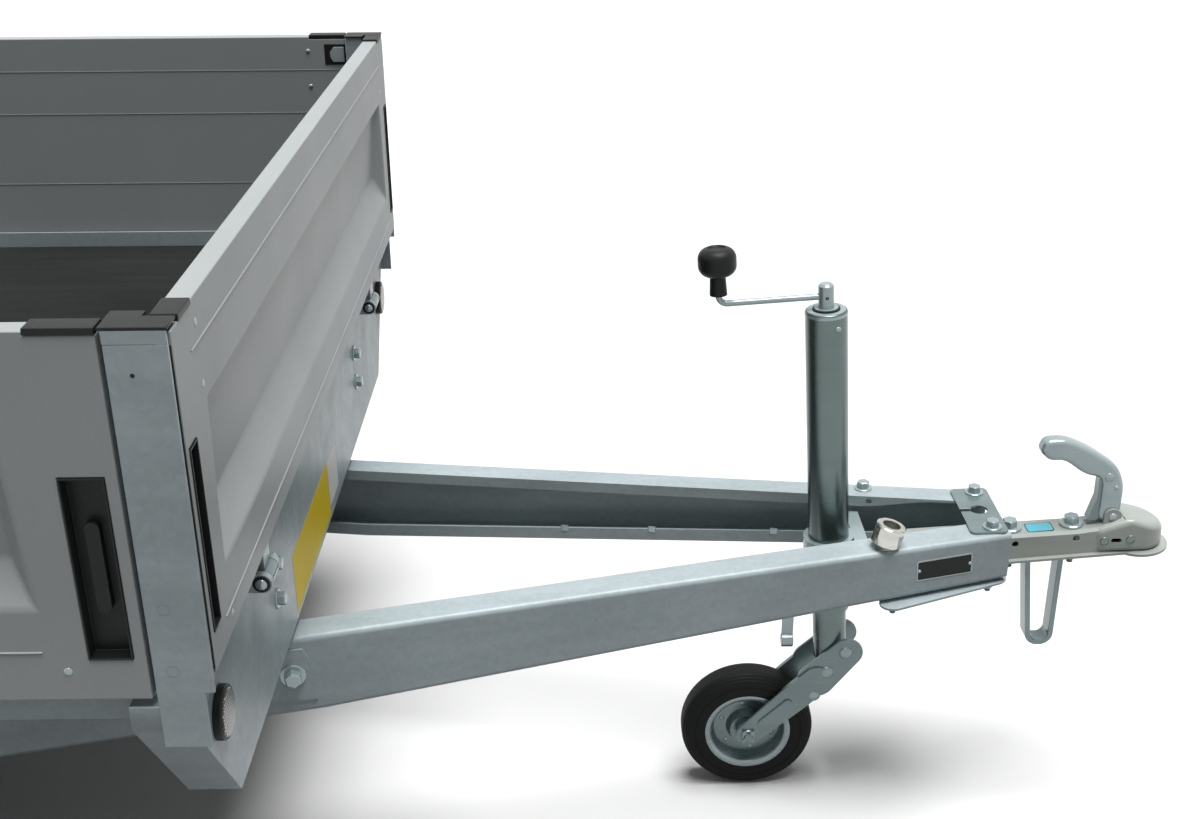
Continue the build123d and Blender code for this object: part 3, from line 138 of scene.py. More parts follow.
def smoothed(outline: Sequence[tuple[float, float]], rounds: int = 3) -> list[tuple[float, float]]:
    """Cut the corners of an outline until it runs smoothly.

    Args:
        outline: Corners in order.
        rounds: How often each corner is cut.

    Returns:
        The smooth outline.
    """
    points = list(outline)
    for _ in range(rounds):
        pairs = list(zip(points, points[1:] + points[:1]))
        points = [(a[0] + (b[0] - a[0]) * share, a[1] + (b[1] - a[1]) * share)
                  for a, b in pairs for share in (0.2, 0.8)]
    return points


def rounded(width: float, height: float, radius: float,
            steps: int = 4) -> list[tuple[float, float]]:
    """Return the outline of a rectangle with round corners, about the origin.

    Args:
        width: Its width.
        height: Its height.
        radius: Its corners' radius.
        steps: Facets in a corner.

    Returns:
        The outline's points, counter-clockwise.
    """
    points = []
    for sx, sy, start in ((1, 1, 0), (-1, 1, 90), (-1, -1, 180), (1, -1, 270)):
        for step in range(steps + 1):
            angle = math.radians(start + 90 * step / steps)
            points.append((sx * (width / 2 - radius) + radius * math.cos(angle),
                           sy * (height / 2 - radius) + radius * math.sin(angle)))
    return points


class Pattern(Enum):
    """How a finish varies over its surface."""

    SPANGLE = "spangle"
    PLATED = "plated"
    PAINTED = "painted"
    MOULDED = "moulded"
    RUBBER = "rubber"
    PLY = "ply"
    LENS = "lens"
    PRINTED = "printed"
    HONEYCOMB = "honeycomb"


class Tree:
    """Shorthand for adding and linking the nodes of one tree."""

    def __init__(self, tree: bpy.types.NodeTree) -> None:
        """Keep the tree that the nodes go in."""
        self.tree = tree

    def add(self, kind: str, values: dict | None = None, **fields: object) -> bpy.types.Node:
        """Add one node.

        Args:
            kind: Name of the node type.
            values: Values for its input sockets, by name or index.
            fields: Values for its own properties.

        Returns:
            The new node.
        """
        node = self.tree.nodes.new(kind)
        for name, value in fields.items():
            setattr(node, name, value)
        for name, value in (values or {}).items():
            node.inputs[name].default_value = value
        return node

    def link(self, source: Socket, target: Socket) -> None:
        """Join an output socket to an input socket."""
        self.tree.links.new(source, target)

    def blend(self, share: Socket, low: Colour, high: Colour) -> Socket:
        """Mix two colours by a mask.

        Args:
            share: The mask, 0 for low and 1 for high.
            low: First colour.
            high: Second colour.

        Returns:
            The mixed colour's socket.
        """
        mix = self.add("ShaderNodeMix", data_type="RGBA")
        mix.inputs[6].default_value = (*low, 1.0)
        mix.inputs[7].default_value = (*high, 1.0)
        self.link(share, mix.inputs[0])
        return mix.outputs[2]

    def spread(self, share: Socket, low: float, high: float) -> Socket:
        """Map a 0 to 1 mask to a range of values.

        Args:
            share: The mask.
            low: Value at 0.
            high: Value at 1.

        Returns:
            The mapped value's socket.
        """
        node = self.add("ShaderNodeMapRange", {3: low, 4: high})
        self.link(share, node.inputs[0])
        return node.outputs[0]

    def stretch(self, value: Socket, low: float, high: float) -> Socket:
        """Stretch the span from low to high over 0 to 1.

        Args:
            value: The value to stretch.
            low: What becomes 0.
            high: What becomes 1.

        Returns:
            The stretched value's socket.
        """
        node = self.add("ShaderNodeMapRange", {1: low, 2: high})
        self.link(value, node.inputs[0])
        return node.outputs[0]


class EffectGroups:
    """Shader groups shared by several finishes."""

    def __init__(self) -> None:
        """Build each group once."""
        self.clouds = self._noise_group("cloud_mottle", 3.0, 0.55)
        self.grain = self._noise_group("fine_grain", 2.0, 0.6)
        self.spangle = self._spangle_group()
        self.streaks = self._streak_group()

    @staticmethod
    def _start(name: str, inputs: Sequence[tuple[str, str, float]]) -> Tree:
        """Make an empty group with a Vector input, more inputs and a Mask output.

        Args:
            name: The group's name.
            inputs: Name, socket type and default of each further input.

        Returns:
            The group's tree.
        """
        group = bpy.data.node_groups.new(name, "ShaderNodeTree")
        group.interface.new_socket("Vector", in_out="INPUT", socket_type="NodeSocketVector")
        for label, kind, value in inputs:
            socket = group.interface.new_socket(label, in_out="INPUT", socket_type=kind)
            socket.default_value = value
        group.interface.new_socket("Mask", in_out="OUTPUT", socket_type="NodeSocketFloat")
        return Tree(group)

    def _noise_group(self, name: str, detail: float, rough: float) -> bpy.types.NodeTree:
        """Return a group of soft noise from 0 to 1.

        Args:
            name: The group's name.
            detail: Octaves of noise.
            rough: Weight of the finer octaves.

        Returns:
            The group.
        """
        t = self._start(name, [("Scale", "NodeSocketFloat", 10.0)])
        source, sink = t.add("NodeGroupInput"), t.add("NodeGroupOutput")
        noise = t.add("ShaderNodeTexNoise", {"Detail": detail, "Roughness": rough})
        t.link(source.outputs["Vector"], noise.inputs["Vector"])
        t.link(source.outputs["Scale"], noise.inputs["Scale"])
        t.link(t.stretch(noise.outputs["Fac"], 0.3, 0.7), sink.inputs["Mask"])
        return t.tree

    def _spangle_group(self) -> bpy.types.NodeTree:
        """Return a group of zinc crystals, each cell with its own shade."""
        t = self._start("zinc_spangle", [("Scale", "NodeSocketFloat", 90.0)])
        source, sink = t.add("NodeGroupInput"), t.add("NodeGroupOutput")
        warp = t.add("ShaderNodeTexNoise", {"Scale": 40.0, "Detail": 2.0})
        shift = t.add("ShaderNodeVectorMath", {1: (0.012, 0.012, 0.012)}, operation="MULTIPLY")
        moved = t.add("ShaderNodeVectorMath", operation="ADD")
        cells = t.add("ShaderNodeTexVoronoi", {"Randomness": 1.0})
        parts = t.add("ShaderNodeSeparateColor")
        t.link(source.outputs["Vector"], warp.inputs["Vector"])
        t.link(warp.outputs["Color"], shift.inputs[0])
        t.link(source.outputs["Vector"], moved.inputs[0])
        t.link(shift.outputs[0], moved.inputs[1])
        t.link(moved.outputs[0], cells.inputs["Vector"])
        t.link(source.outputs["Scale"], cells.inputs["Scale"])
        t.link(cells.outputs["Color"], parts.inputs[0])
        t.link(parts.outputs[0], sink.inputs["Mask"])
        return t.tree

    def _streak_group(self) -> bpy.types.NodeTree:
        """Return a group of long soft runs, drawn out along X."""
        t = self._start("drawn_streaks", [("Scale", "NodeSocketFloat", 30.0)])
        source, sink = t.add("NodeGroupInput"), t.add("NodeGroupOutput")
        stretch = t.add("ShaderNodeVectorMath", {1: (0.12, 1.0, 1.0)}, operation="MULTIPLY")
        noise = t.add("ShaderNodeTexNoise", {"Detail": 4.0, "Roughness": 0.6, "Distortion": 0.4})
        t.link(source.outputs["Vector"], stretch.inputs[0])
        t.link(stretch.outputs[0], noise.inputs["Vector"])
        t.link(source.outputs["Scale"], noise.inputs["Scale"])
        t.link(t.stretch(noise.outputs["Fac"], 0.3, 0.7), sink.inputs["Mask"])
        return t.tree


@dataclass(frozen=True)
class Finish:
    """One surface finish, and how its shader is put together.

    The mask that varies the colour also varies the roughness, from sheen to dull.
    """

    CLOUD_SCALE = 4.0
    STREAK_SCALE = 22.0
    PLY_CELLS = 220.0
    GRAIN_FINER = 8

    name: str
    slot: str
    pattern: Pattern
    low: Colour
    high: Colour
    sheen: float
    dull: float
    metallic: float = 0.0
    coat: float = 0.0
    scale: float = 60.0
    bump: float = 0.1
    bump_depth: float = 0.0004
    specular: float = 0.5

    def _group(self, t: Tree, group: bpy.types.NodeTree, scale: float) -> Socket:
        """Place a shared effect on the object's own coordinates.

        Args:
            t: The material's tree.
            group: The effect.
            scale: Its scale in this finish.

        Returns:
            The effect's mask.
        """
        where = t.add("ShaderNodeTexCoord")
        node = t.add("ShaderNodeGroup", node_tree=group)
        node.inputs["Scale"].default_value = scale
        t.link(where.outputs["Object"], node.inputs["Vector"])
        return node.outputs["Mask"]

    def _mean(self, t: Tree, first: Socket, second: Socket, share: float) -> Socket:
        """Return the weighted mean of two masks.

        Args:
            t: The material's tree.
            first: First mask.
            second: Second mask.
            share: Weight of the second.

        Returns:
            The mean's socket.
        """
        mix = t.add("ShaderNodeMix", {0: share}, data_type="FLOAT")
        t.link(first, mix.inputs[2])
        t.link(second, mix.inputs[3])
        return mix.outputs[0]

    def build(self, effects: EffectGroups) -> bpy.types.Material:
        """Make the material.

        Args:
            effects: The shared shader groups.

        Returns:
            The material.
        """
        material = bpy.data.materials.new(self.name)
        material.use_nodes = True
        material.diffuse_color = (*self.high, 1.0)
        t = Tree(material.node_tree)
        shader = t.tree.nodes["Principled BSDF"]
        shader.inputs["Metallic"].default_value = self.metallic
        shader.inputs["Coat Weight"].default_value = self.coat
        shader.inputs["Specular IOR Level"].default_value = self.specular
        clouds = self._group(t, effects.clouds, self.CLOUD_SCALE)
        grain = self._group(t, effects.grain, self.scale * self.GRAIN_FINER)
        if self.pattern is Pattern.SPANGLE:
            mask = self._mean(t, self._group(t, effects.spangle, self.scale),
                              self._group(t, effects.streaks, self.STREAK_SCALE), 0.65)
            mask = self._mean(t, mask, clouds, 0.3)
        elif self.pattern is Pattern.PLATED:
            mask = self._mean(t, self._group(t, effects.streaks, self.scale), clouds, 0.6)
        elif self.pattern is Pattern.PLY:
            mask = self._mean(t, self._group(t, effects.streaks, self.scale), clouds, 0.4)
        else:
            mask = self._mean(t, clouds, grain, 0.4)
        height = grain
        if self.pattern is Pattern.PLY:
            height = self._cells(t, self.PLY_CELLS)
        elif self.pattern is Pattern.HONEYCOMB:
            mask = height = self._cells(t, self.scale)
        t.link(t.blend(mask, self.low, self.high), shader.inputs["Base Color"])
        t.link(t.spread(mask, self.dull, self.sheen), shader.inputs["Roughness"])
        bump = t.add("ShaderNodeBump", {"Strength": self.bump, "Distance": self.bump_depth})
        t.link(height, bump.inputs["Height"])
        t.link(bump.outputs["Normal"], shader.inputs["Normal"])
        return material

    @staticmethod
    def _cells(t: Tree, scale: float) -> Socket:
        """Return small raised cells with lines between them.

        Args:
            t: The material's tree.
            scale: Cells in a metre.

        Returns:
            The cells' mask, 0 along their edges.
        """
        where = t.add("ShaderNodeTexCoord")
        cells = t.add("ShaderNodeTexVoronoi", {"Scale": scale, "Randomness": 0.15},
                      feature="DISTANCE_TO_EDGE")
        t.link(where.outputs["Object"], cells.inputs["Vector"])
        return t.stretch(cells.outputs["Distance"], 0.08, 0.42)


class Finishes:
    """All the trailer's finishes, by short name."""

    TABLE = (
        Finish("panel_aluminium", "panel_steel", Pattern.PAINTED, (0.390, 0.416, 0.421),
               (0.438, 0.465, 0.470), 0.36, 0.46, metallic=0.04, specular=0.15, scale=40,
               bump=0.04),
        Finish("zinc_galvanised", "galvanised", Pattern.SPANGLE, (0.335, 0.395, 0.415),
               (0.495, 0.57, 0.595), 0.32, 0.46, metallic=0.06, specular=0.2, scale=140, bump=0.06),
        # Darkest zinc: its low base colour paints the shade and dark reflections of the upright
        # jockey tube, on top of the zinc's own tint.
        Finish("darkest_zinc_and_shade", "zinc_bright", Pattern.PLATED, (0.108, 0.142, 0.138),
               (0.162, 0.206, 0.200), 0.20, 0.30, metallic=0.75, scale=16, bump=0.03),
        Finish("zinc_plated", "zinc_bright", Pattern.PLATED, (0.30, 0.366, 0.378),
               (0.425, 0.51, 0.522), 0.18, 0.32, metallic=0.35, specular=0.35, scale=30, bump=0.04),
        # Darker zinc, partly the fork's and rim's own plating and partly painted shade: it darkens
        # the parts that sit in shade under the drawbar and the boards.
        Finish("dark_zinc_and_shade", "zinc_bright", Pattern.PLATED, (0.165, 0.215, 0.220),
               (0.275, 0.345, 0.352), 0.20, 0.32, metallic=0.40, specular=0.35, scale=24,
               bump=0.04),
        Finish("coupling_zinc", "zinc_bright", Pattern.PLATED, (0.33, 0.36, 0.325),
               (0.48, 0.515, 0.49), 0.26, 0.40, metallic=0.10, specular=0.25, scale=36, bump=0.05),
        Finish("yellow_passivate", "zinc_bright", Pattern.PLATED, (0.42, 0.42, 0.37),
               (0.64, 0.66, 0.62), 0.08, 0.20, metallic=0.90, scale=90, bump=0.03),
        Finish("black_nylon", "black_plastic", Pattern.MOULDED, (0.006, 0.007, 0.007),
               (0.013, 0.015, 0.015), 0.38, 0.52, specular=0.2, scale=120, bump=0.2),
        Finish("tyre_rubber", "rubber_tyre", Pattern.RUBBER, (0.004, 0.0045, 0.0045),
               (0.011, 0.012, 0.012), 0.50, 0.70, specular=0.15, scale=90, bump=0.3),
        Finish("floor_film", "ply", Pattern.PLY, (0.012, 0.0126, 0.0122),
               (0.026, 0.0272, 0.0265), 0.34, 0.48, specular=0.12, scale=20, bump=0.5,
               bump_depth=0.0008),
        Finish("wheel_silver", "wheel_steel", Pattern.PAINTED, (0.52, 0.53, 0.54),
               (0.62, 0.63, 0.64), 0.26, 0.38, metallic=0.3, coat=0.3, scale=60, bump=0.04),
        Finish("hub_cast", "hub_iron", Pattern.MOULDED, (0.07, 0.07, 0.075),
               (0.16, 0.16, 0.17), 0.40, 0.62, metallic=0.5, scale=50, bump=0.3),
        Finish("reflector_clear", "clear_reflector", Pattern.HONEYCOMB, (0.03, 0.032, 0.034),
               (0.62, 0.63, 0.64), 0.14, 0.22, metallic=0.2, specular=0.3, scale=230, bump=0.3),
        Finish("lens_red", "lamp_lens", Pattern.LENS, (0.30, 0.006, 0.006),
               (0.55, 0.014, 0.012), 0.12, 0.22, coat=0.2, specular=0.25, scale=60, bump=0.1),
        Finish("lens_amber", "lamp_lens", Pattern.LENS, (0.62, 0.20, 0.01),
               (0.80, 0.30, 0.02), 0.12, 0.22, coat=0.2, specular=0.25, scale=60, bump=0.1),
        Finish("sticker_yellow", "black_plastic", Pattern.PRINTED, (0.90, 0.66, 0.02),
               (0.97, 0.74, 0.04), 0.40, 0.50, specular=0.05, scale=40, bump=0.02),
        Finish("sticker_white", "black_plastic", Pattern.PRINTED, (0.88, 0.88, 0.87),
               (0.94, 0.94, 0.93), 0.40, 0.50, specular=0.1, scale=40, bump=0.02),
        Finish("sticker_blue", "black_plastic", Pattern.PRINTED, (0.10, 0.50, 0.62),
               (0.16, 0.60, 0.72), 0.28, 0.40, specular=0.3, scale=40, bump=0.02),
    )

    def __init__(self, effects: EffectGroups) -> None:
        """Build every material."""
        self._finish = {f.name: f for f in self.TABLE}
        self._material = {f.name: f.build(effects) for f in self.TABLE}

    def dress(self, piece: Piece, name: str) -> None:
        """Give a piece one finish all over.

        Args:
            piece: The piece.
            name: The finish.
        """
        piece.data.materials.clear()
        piece.data.materials.append(self._material[name])


class Bench:
    """Modelling steps as done by hand, one piece at a time."""

    @staticmethod
    def clear() -> None:
        """Leave edit mode and deselect everything."""
        if bpy.context.object and bpy.context.object.mode != "OBJECT":
            bpy.ops.object.mode_set(mode="OBJECT")
        bpy.ops.object.select_all(action="DESELECT")

    @staticmethod
    def only(piece: Piece) -> None:
        """Make one piece the only selected one, and active."""
        Bench.clear()
        piece.select_set(True)
        bpy.context.view_layer.objects.active = piece

    @staticmethod
    def chain(name: str, points: Sequence[Point]) -> Piece:
        """Draw a run of edges by extruding one point along.

        Args:
            name: The piece's name.
            points: The run's corners.

        Returns:
            The new piece, in edit mode with its last point selected.
        """
        Bench.clear()
        bpy.ops.mesh.primitive_plane_add(size=0.002, location=(0, 0, 0))
        piece = bpy.context.object
        piece.name = name
        bpy.ops.object.mode_set(mode="EDIT")
        bpy.ops.mesh.select_mode(type="VERT")
        bpy.ops.mesh.select_all(action="SELECT")
        bpy.ops.mesh.merge(type="CENTER")
        bpy.ops.transform.translate(value=points[0])
        for before, after in zip(points, points[1:]):
            step = Vector(after) - Vector(before)
            bpy.ops.mesh.extrude_region_move(TRANSFORM_OT_translate={"value": step})
        return piece

    @staticmethod
    def pick(piece: Piece, wanted: Callable[[bpy.types.MeshPolygon], bool]) -> None:
        """Select some of a piece's faces, and leave it in edit mode.

        Args:
            piece: The piece.
            wanted: Says whether a face is selected.
        """
        Bench.only(piece)
        bpy.ops.object.mode_set(mode="EDIT")
        bpy.ops.mesh.select_mode(type="FACE")
        bpy.ops.mesh.select_all(action="DESELECT")
        bpy.ops.object.mode_set(mode="OBJECT")
        for face in piece.data.polygons:
            face.select = wanted(face)
        bpy.ops.object.mode_set(mode="EDIT")

    @staticmethod
    def close() -> None:
        """Turn every face of the piece in hand outward and leave edit mode."""
        bpy.ops.mesh.select_all(action="SELECT")
        bpy.ops.mesh.normals_make_consistent(inside=False)
        bpy.ops.object.mode_set(mode="OBJECT")

    @staticmethod
    def turned(name: str, profile: Sequence[tuple[float, float]], steps: int = 48,
               smooth: float | None = None) -> Piece:
        """Turn a profile about the Z axis.

        Args:
            name: The piece's name.
            profile: Radius and height of each corner.
            steps: Facets in a turn.
            smooth: Angle up to which it is shaded smooth, or None for flat.

        Returns:
            The turned piece, standing on the origin.
        """
        piece = Bench.chain(name, [(r, 0.0, h) for r, h in profile])
        bpy.ops.mesh.select_all(action="SELECT")
        bpy.ops.mesh.spin(steps=steps, angle=2 * math.pi, center=(0, 0, 0), axis=(0, 0, 1))
        bpy.ops.mesh.select_all(action="SELECT")
        bpy.ops.mesh.remove_doubles(threshold=1e-5)
        Bench.close()
        if smooth is not None:
            Bench.shade(piece, smooth)
        return piece

    @staticmethod
    def plate(name: str, outline: Sequence[tuple[float, float]], thick: float,
              edge: float, segments: int = 2) -> Piece:
        """Cut a flat plate, thicken it and soften its edges.

        Args:
            name: The piece's name.
            outline: Corners in the XY plane, counter-clockwise.
            thick: Thickness along Z.
            edge: Width of the softened edges.
            segments: Facets across a softened edge.

        Returns:
            The plate, lying on the XY plane.
        """
        piece = Bench.chain(name, [(x, y, 0.0) for x, y in outline])
        bpy.ops.mesh.select_all(action="SELECT")
        bpy.ops.mesh.edge_face_add()
        bpy.ops.mesh.extrude_region_move(TRANSFORM_OT_translate={"value": (0, 0, thick)})
        Bench.close()
        if edge > 0:
            Bench.soften(piece, edge, segments)
        return piece

    @staticmethod
    def block(name: str, size: Point, edge: float, segments: int = 2) -> Piece:
        """Make a softened block centred on the origin.

        Args:
            name: The piece's name.
            size: Its size along X, Y and Z.
            edge: Width of the softened edges.
            segments: Facets across a softened edge.

        Returns:
            The block.
        """
        Bench.clear()
        bpy.ops.mesh.primitive_cube_add(size=1.0, location=(0, 0, 0))
        piece = bpy.context.object
        piece.name = name
        piece.scale = size
        bpy.ops.object.transform_apply(location=True, rotation=True, scale=True)
        Bench.soften(piece, edge, segments)
        return piece

    @staticmethod
    def box(name: str, low: Sequence[float], high: Sequence[float], edge: float = 0.0) -> Piece:
        """Make a block between two corners.

        Args:
            name: The piece's name.
            low: Its lowest corner.
            high: Its highest corner.
            edge: Width of the softened edges.

        Returns:
            The block.
        """
        (x0, y0, z0), (x1, y1, z1) = low, high
        piece = Bench.plate(name, [(x0, y0), (x1, y0), (x1, y1), (x0, y1)], z1 - z0, edge)
        return Bench.place(piece, shifted(0, 0, z0))

    @staticmethod
    def cut(piece: Piece, tools: Sequence[Piece]) -> None:
        """Cut tools out of a piece.

        Args:
            piece: The piece.
            tools: Closed solids, which are used up.
        """
        tool = Bench.joined("tool", tools)
        Bench.only(piece)
        cutter = piece.modifiers.new("cut", "BOOLEAN")
        cutter.operation = "DIFFERENCE"
        cutter.object = tool
        bpy.ops.object.modifier_apply(modifier=cutter.name)
        bpy.data.objects.remove(tool, do_unlink=True)

    @staticmethod
    def soften(piece: Piece, width: float, segments: int = 2,
               angle: float = 35.0) -> None:
        """Bevel the sharp edges of a piece and shade it.

        Args:
            piece: The piece.
            width: Bevel width.
            segments: Facets across the bevel.
            angle: Least angle of an edge that is bevelled, in degrees.
        """
        Bench.only(piece)
        bevel = piece.modifiers.new("soft_edge", "BEVEL")
        bevel.width = width
        bevel.segments = segments
        bevel.limit_method = "ANGLE"
        bevel.angle_limit = math.radians(angle)
        bevel.use_clamp_overlap = True
        bpy.ops.object.modifier_apply(modifier=bevel.name)
        Bench.shade(piece)
        weigh = piece.modifiers.new("flat_faces", "WEIGHTED_NORMAL")
        weigh.keep_sharp = True
        bpy.ops.object.modifier_apply(modifier=weigh.name)

    @staticmethod
    def shade(piece: Piece, angle: float = 32.0) -> None:
        """Shade a piece smooth up to an angle."""
        Bench.only(piece)
        bpy.ops.object.shade_smooth_by_angle(angle=math.radians(angle))

    @staticmethod
    def place(piece: Piece, matrix: Matrix) -> Piece:
        """Put a piece's mesh in its place, with its object left at the origin."""
        piece.data.transform(matrix)
        piece.data.update()
        return piece

    @staticmethod
    def copies(piece: Piece, name: str, places: Iterable[Matrix]) -> Piece:
        """Set copies of a pattern piece in their places and join them.

        Args:
            piece: The pattern, which is used up.
            name: The joined piece's name.
            places: One matrix for each copy.

        Returns:
            The joined piece.
        """
        made = []
        for matrix in places:
            twin = piece.copy()
            twin.data = piece.data.copy()
            bpy.context.collection.objects.link(twin)
            made.append(Bench.place(twin, matrix))
        bpy.data.objects.remove(piece, do_unlink=True)
        return Bench.joined(name, made)

    @staticmethod
    def joined(name: str, parts: Sequence[Piece]) -> Piece:
        """Join several pieces into one.

        Args:
            name: The joined piece's name.
            parts: The pieces.

        Returns:
            The joined piece.
        """
        Bench.clear()
        for part in parts:
            part.select_set(True)
        bpy.context.view_layer.objects.active = parts[0]
        if len(parts) > 1:
            bpy.ops.object.join()
        parts[0].name = name
        return parts[0]

    @staticmethod
    def facing(point: Sequence[float], normal: Sequence[float], spin: float = 0.0) -> Matrix:
        """Return the place of a piece that stands on a face.

        Args:
            point: Where its foot is.
            normal: The way its Z axis points.
            spin: Its turn about that axis, in degrees.

        Returns:
            The matrix.
        """
        turn = Vector(normal).to_track_quat("Z", "Y").to_matrix().to_4x4()
        return Matrix.Translation(Vector(point)) @ turn @ rotated(spin)

    @staticmethod
    def flanks(x: float, y: float, z: float, spin: float = 0.0) -> list[Matrix]:
        """Return the places of a pair of pieces that face outward on both sides.

        Args:
            x: Their place along the trailer.
            y: Their distance from its middle.
            z: Their height.
            spin: Their turn about their own axis, in degrees.

        Returns:
            The two matrices.
        """
        return [Bench.facing((x, side * y, z), (0, side, 0), spin) for side in SIDES]


@dataclass
class Assembly:
    """A sub-assembly: what it is dressed with and how its pieces are handed over."""

    finishes: Finishes

    def add(self, piece: Piece, body: str, finish: str, stands_for: Sequence[str] = ()) -> Piece:
        """Dress a finished piece and fix it to its body.

        Args:
            piece: The piece, in place.
            body: The body that carries it.
            finish: Its finish.
            stands_for: Solids that it is shown in place of.

        Returns:
            The piece.
        """
        self.finishes.dress(piece, finish)
        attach(piece, body)
        if stands_for:
            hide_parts(*stands_for)
        LOG.info("%s rides on %s", piece.name, body)
        return piece

    def set_out(self, name: str, pattern: Piece, places: Iterable[Matrix],
                finish: str = "zinc_plated", body: str = "chassis",
                stands_for: Sequence[str] = ()) -> None:
        """Fix copies of a pattern to a body as one piece.

        Args:
            name: The piece's name.
            pattern: The pattern, which is used up.
            places: One matrix for each copy.
            finish: The piece's finish.
            body: The body that carries it.
            stands_for: Solids that it is shown in place of.
        """
        self.add(Bench.copies(pattern, name, places), body, finish, stands_for)


@dataclass
class Fasteners:
    """Patterns of the bolts, nuts, washers and rivets."""

    across: float = 0.017
    head: float = 0.0085
    chamfer: tuple[float, float] = (0.0016, 0.0012)
    edge: float = 0.0005
    washer_r: float = 0.014
    washer_t: float = 0.0025
    thread_r: float = 0.005
    thread_root: float = 0.84
    pitch: float = 0.0015
    thread_turns: int = 6

    def bolt(self, size: float = 1.0, spread: float = 1.0, lift: float = 1.0) -> Piece:
        """Return a hexagon bolt head on its washer.

        Args:
            size: Scale against a 10 mm bolt.
            spread: Scale of the washer's width besides.
            lift: Scale of the washer's thickness besides.

        Returns:
            The bolt, standing on the origin.
        """
        Bench.clear()
        radius = self.across / math.sqrt(3) * size
        r, t = self.washer_r * size * spread, self.washer_t * size * lift
        bpy.ops.mesh.primitive_cylinder_add(vertices=6, radius=radius, depth=self.head * size,
                                            location=(0, 0, self.head * size / 2 + t))
        head = bpy.context.object
        bpy.ops.object.transform_apply(location=True, rotation=True, scale=True)
        Bench.pick(head, lambda face: face.normal.z > 0.9)
        bpy.ops.mesh.inset(thickness=self.chamfer[0] * size, depth=self.chamfer[1] * size)
        bpy.ops.object.mode_set(mode="OBJECT")
        Bench.soften(head, self.edge * size, 2, 25)
        rim = [(0, 0), (r, 0), (r, t * 0.7), (r - t * 0.4, t), (0, t)]
        return Bench.joined("bolt", [head, Bench.turned("washer", rim, 32, 32)])

    def nut_end(self, size: float = 1.0) -> Piece:
        """Return a nut with the bolt's threaded end standing out of it."""
        bolt = self.bolt(size)
        pitch, r = self.pitch * size, self.thread_r * size
        low = (self.head + self.washer_t) * size
        profile = [(0.001, low)]
        for turn in range(self.thread_turns):
            profile += [(r, low + pitch * turn),
                        (r * self.thread_root, low + pitch * (turn + 0.5))]
        profile += [(0.0, low + pitch * self.thread_turns)]
        return Bench.joined("nut", [bolt, Bench.turned("thread", profile, 16, 50)])

    @staticmethod
    def rivet(radius: float, height: float, steps: int = 20) -> Piece:
        """Return a low domed rivet head.

        Args:
            radius: Its radius.
            height: Its height.
            steps: Facets in a turn.

        Returns:
            The rivet, standing on the origin.
        """
        arc = [(radius * math.cos(a), height * math.sin(a))
               for a in (math.radians(d) for d in (0, 25, 50, 70, 90))]
        profile = [(radius, -height * 0.3), *arc[:-1], (0.0, height)]
        return Bench.turned("rivet", profile, steps, 60)


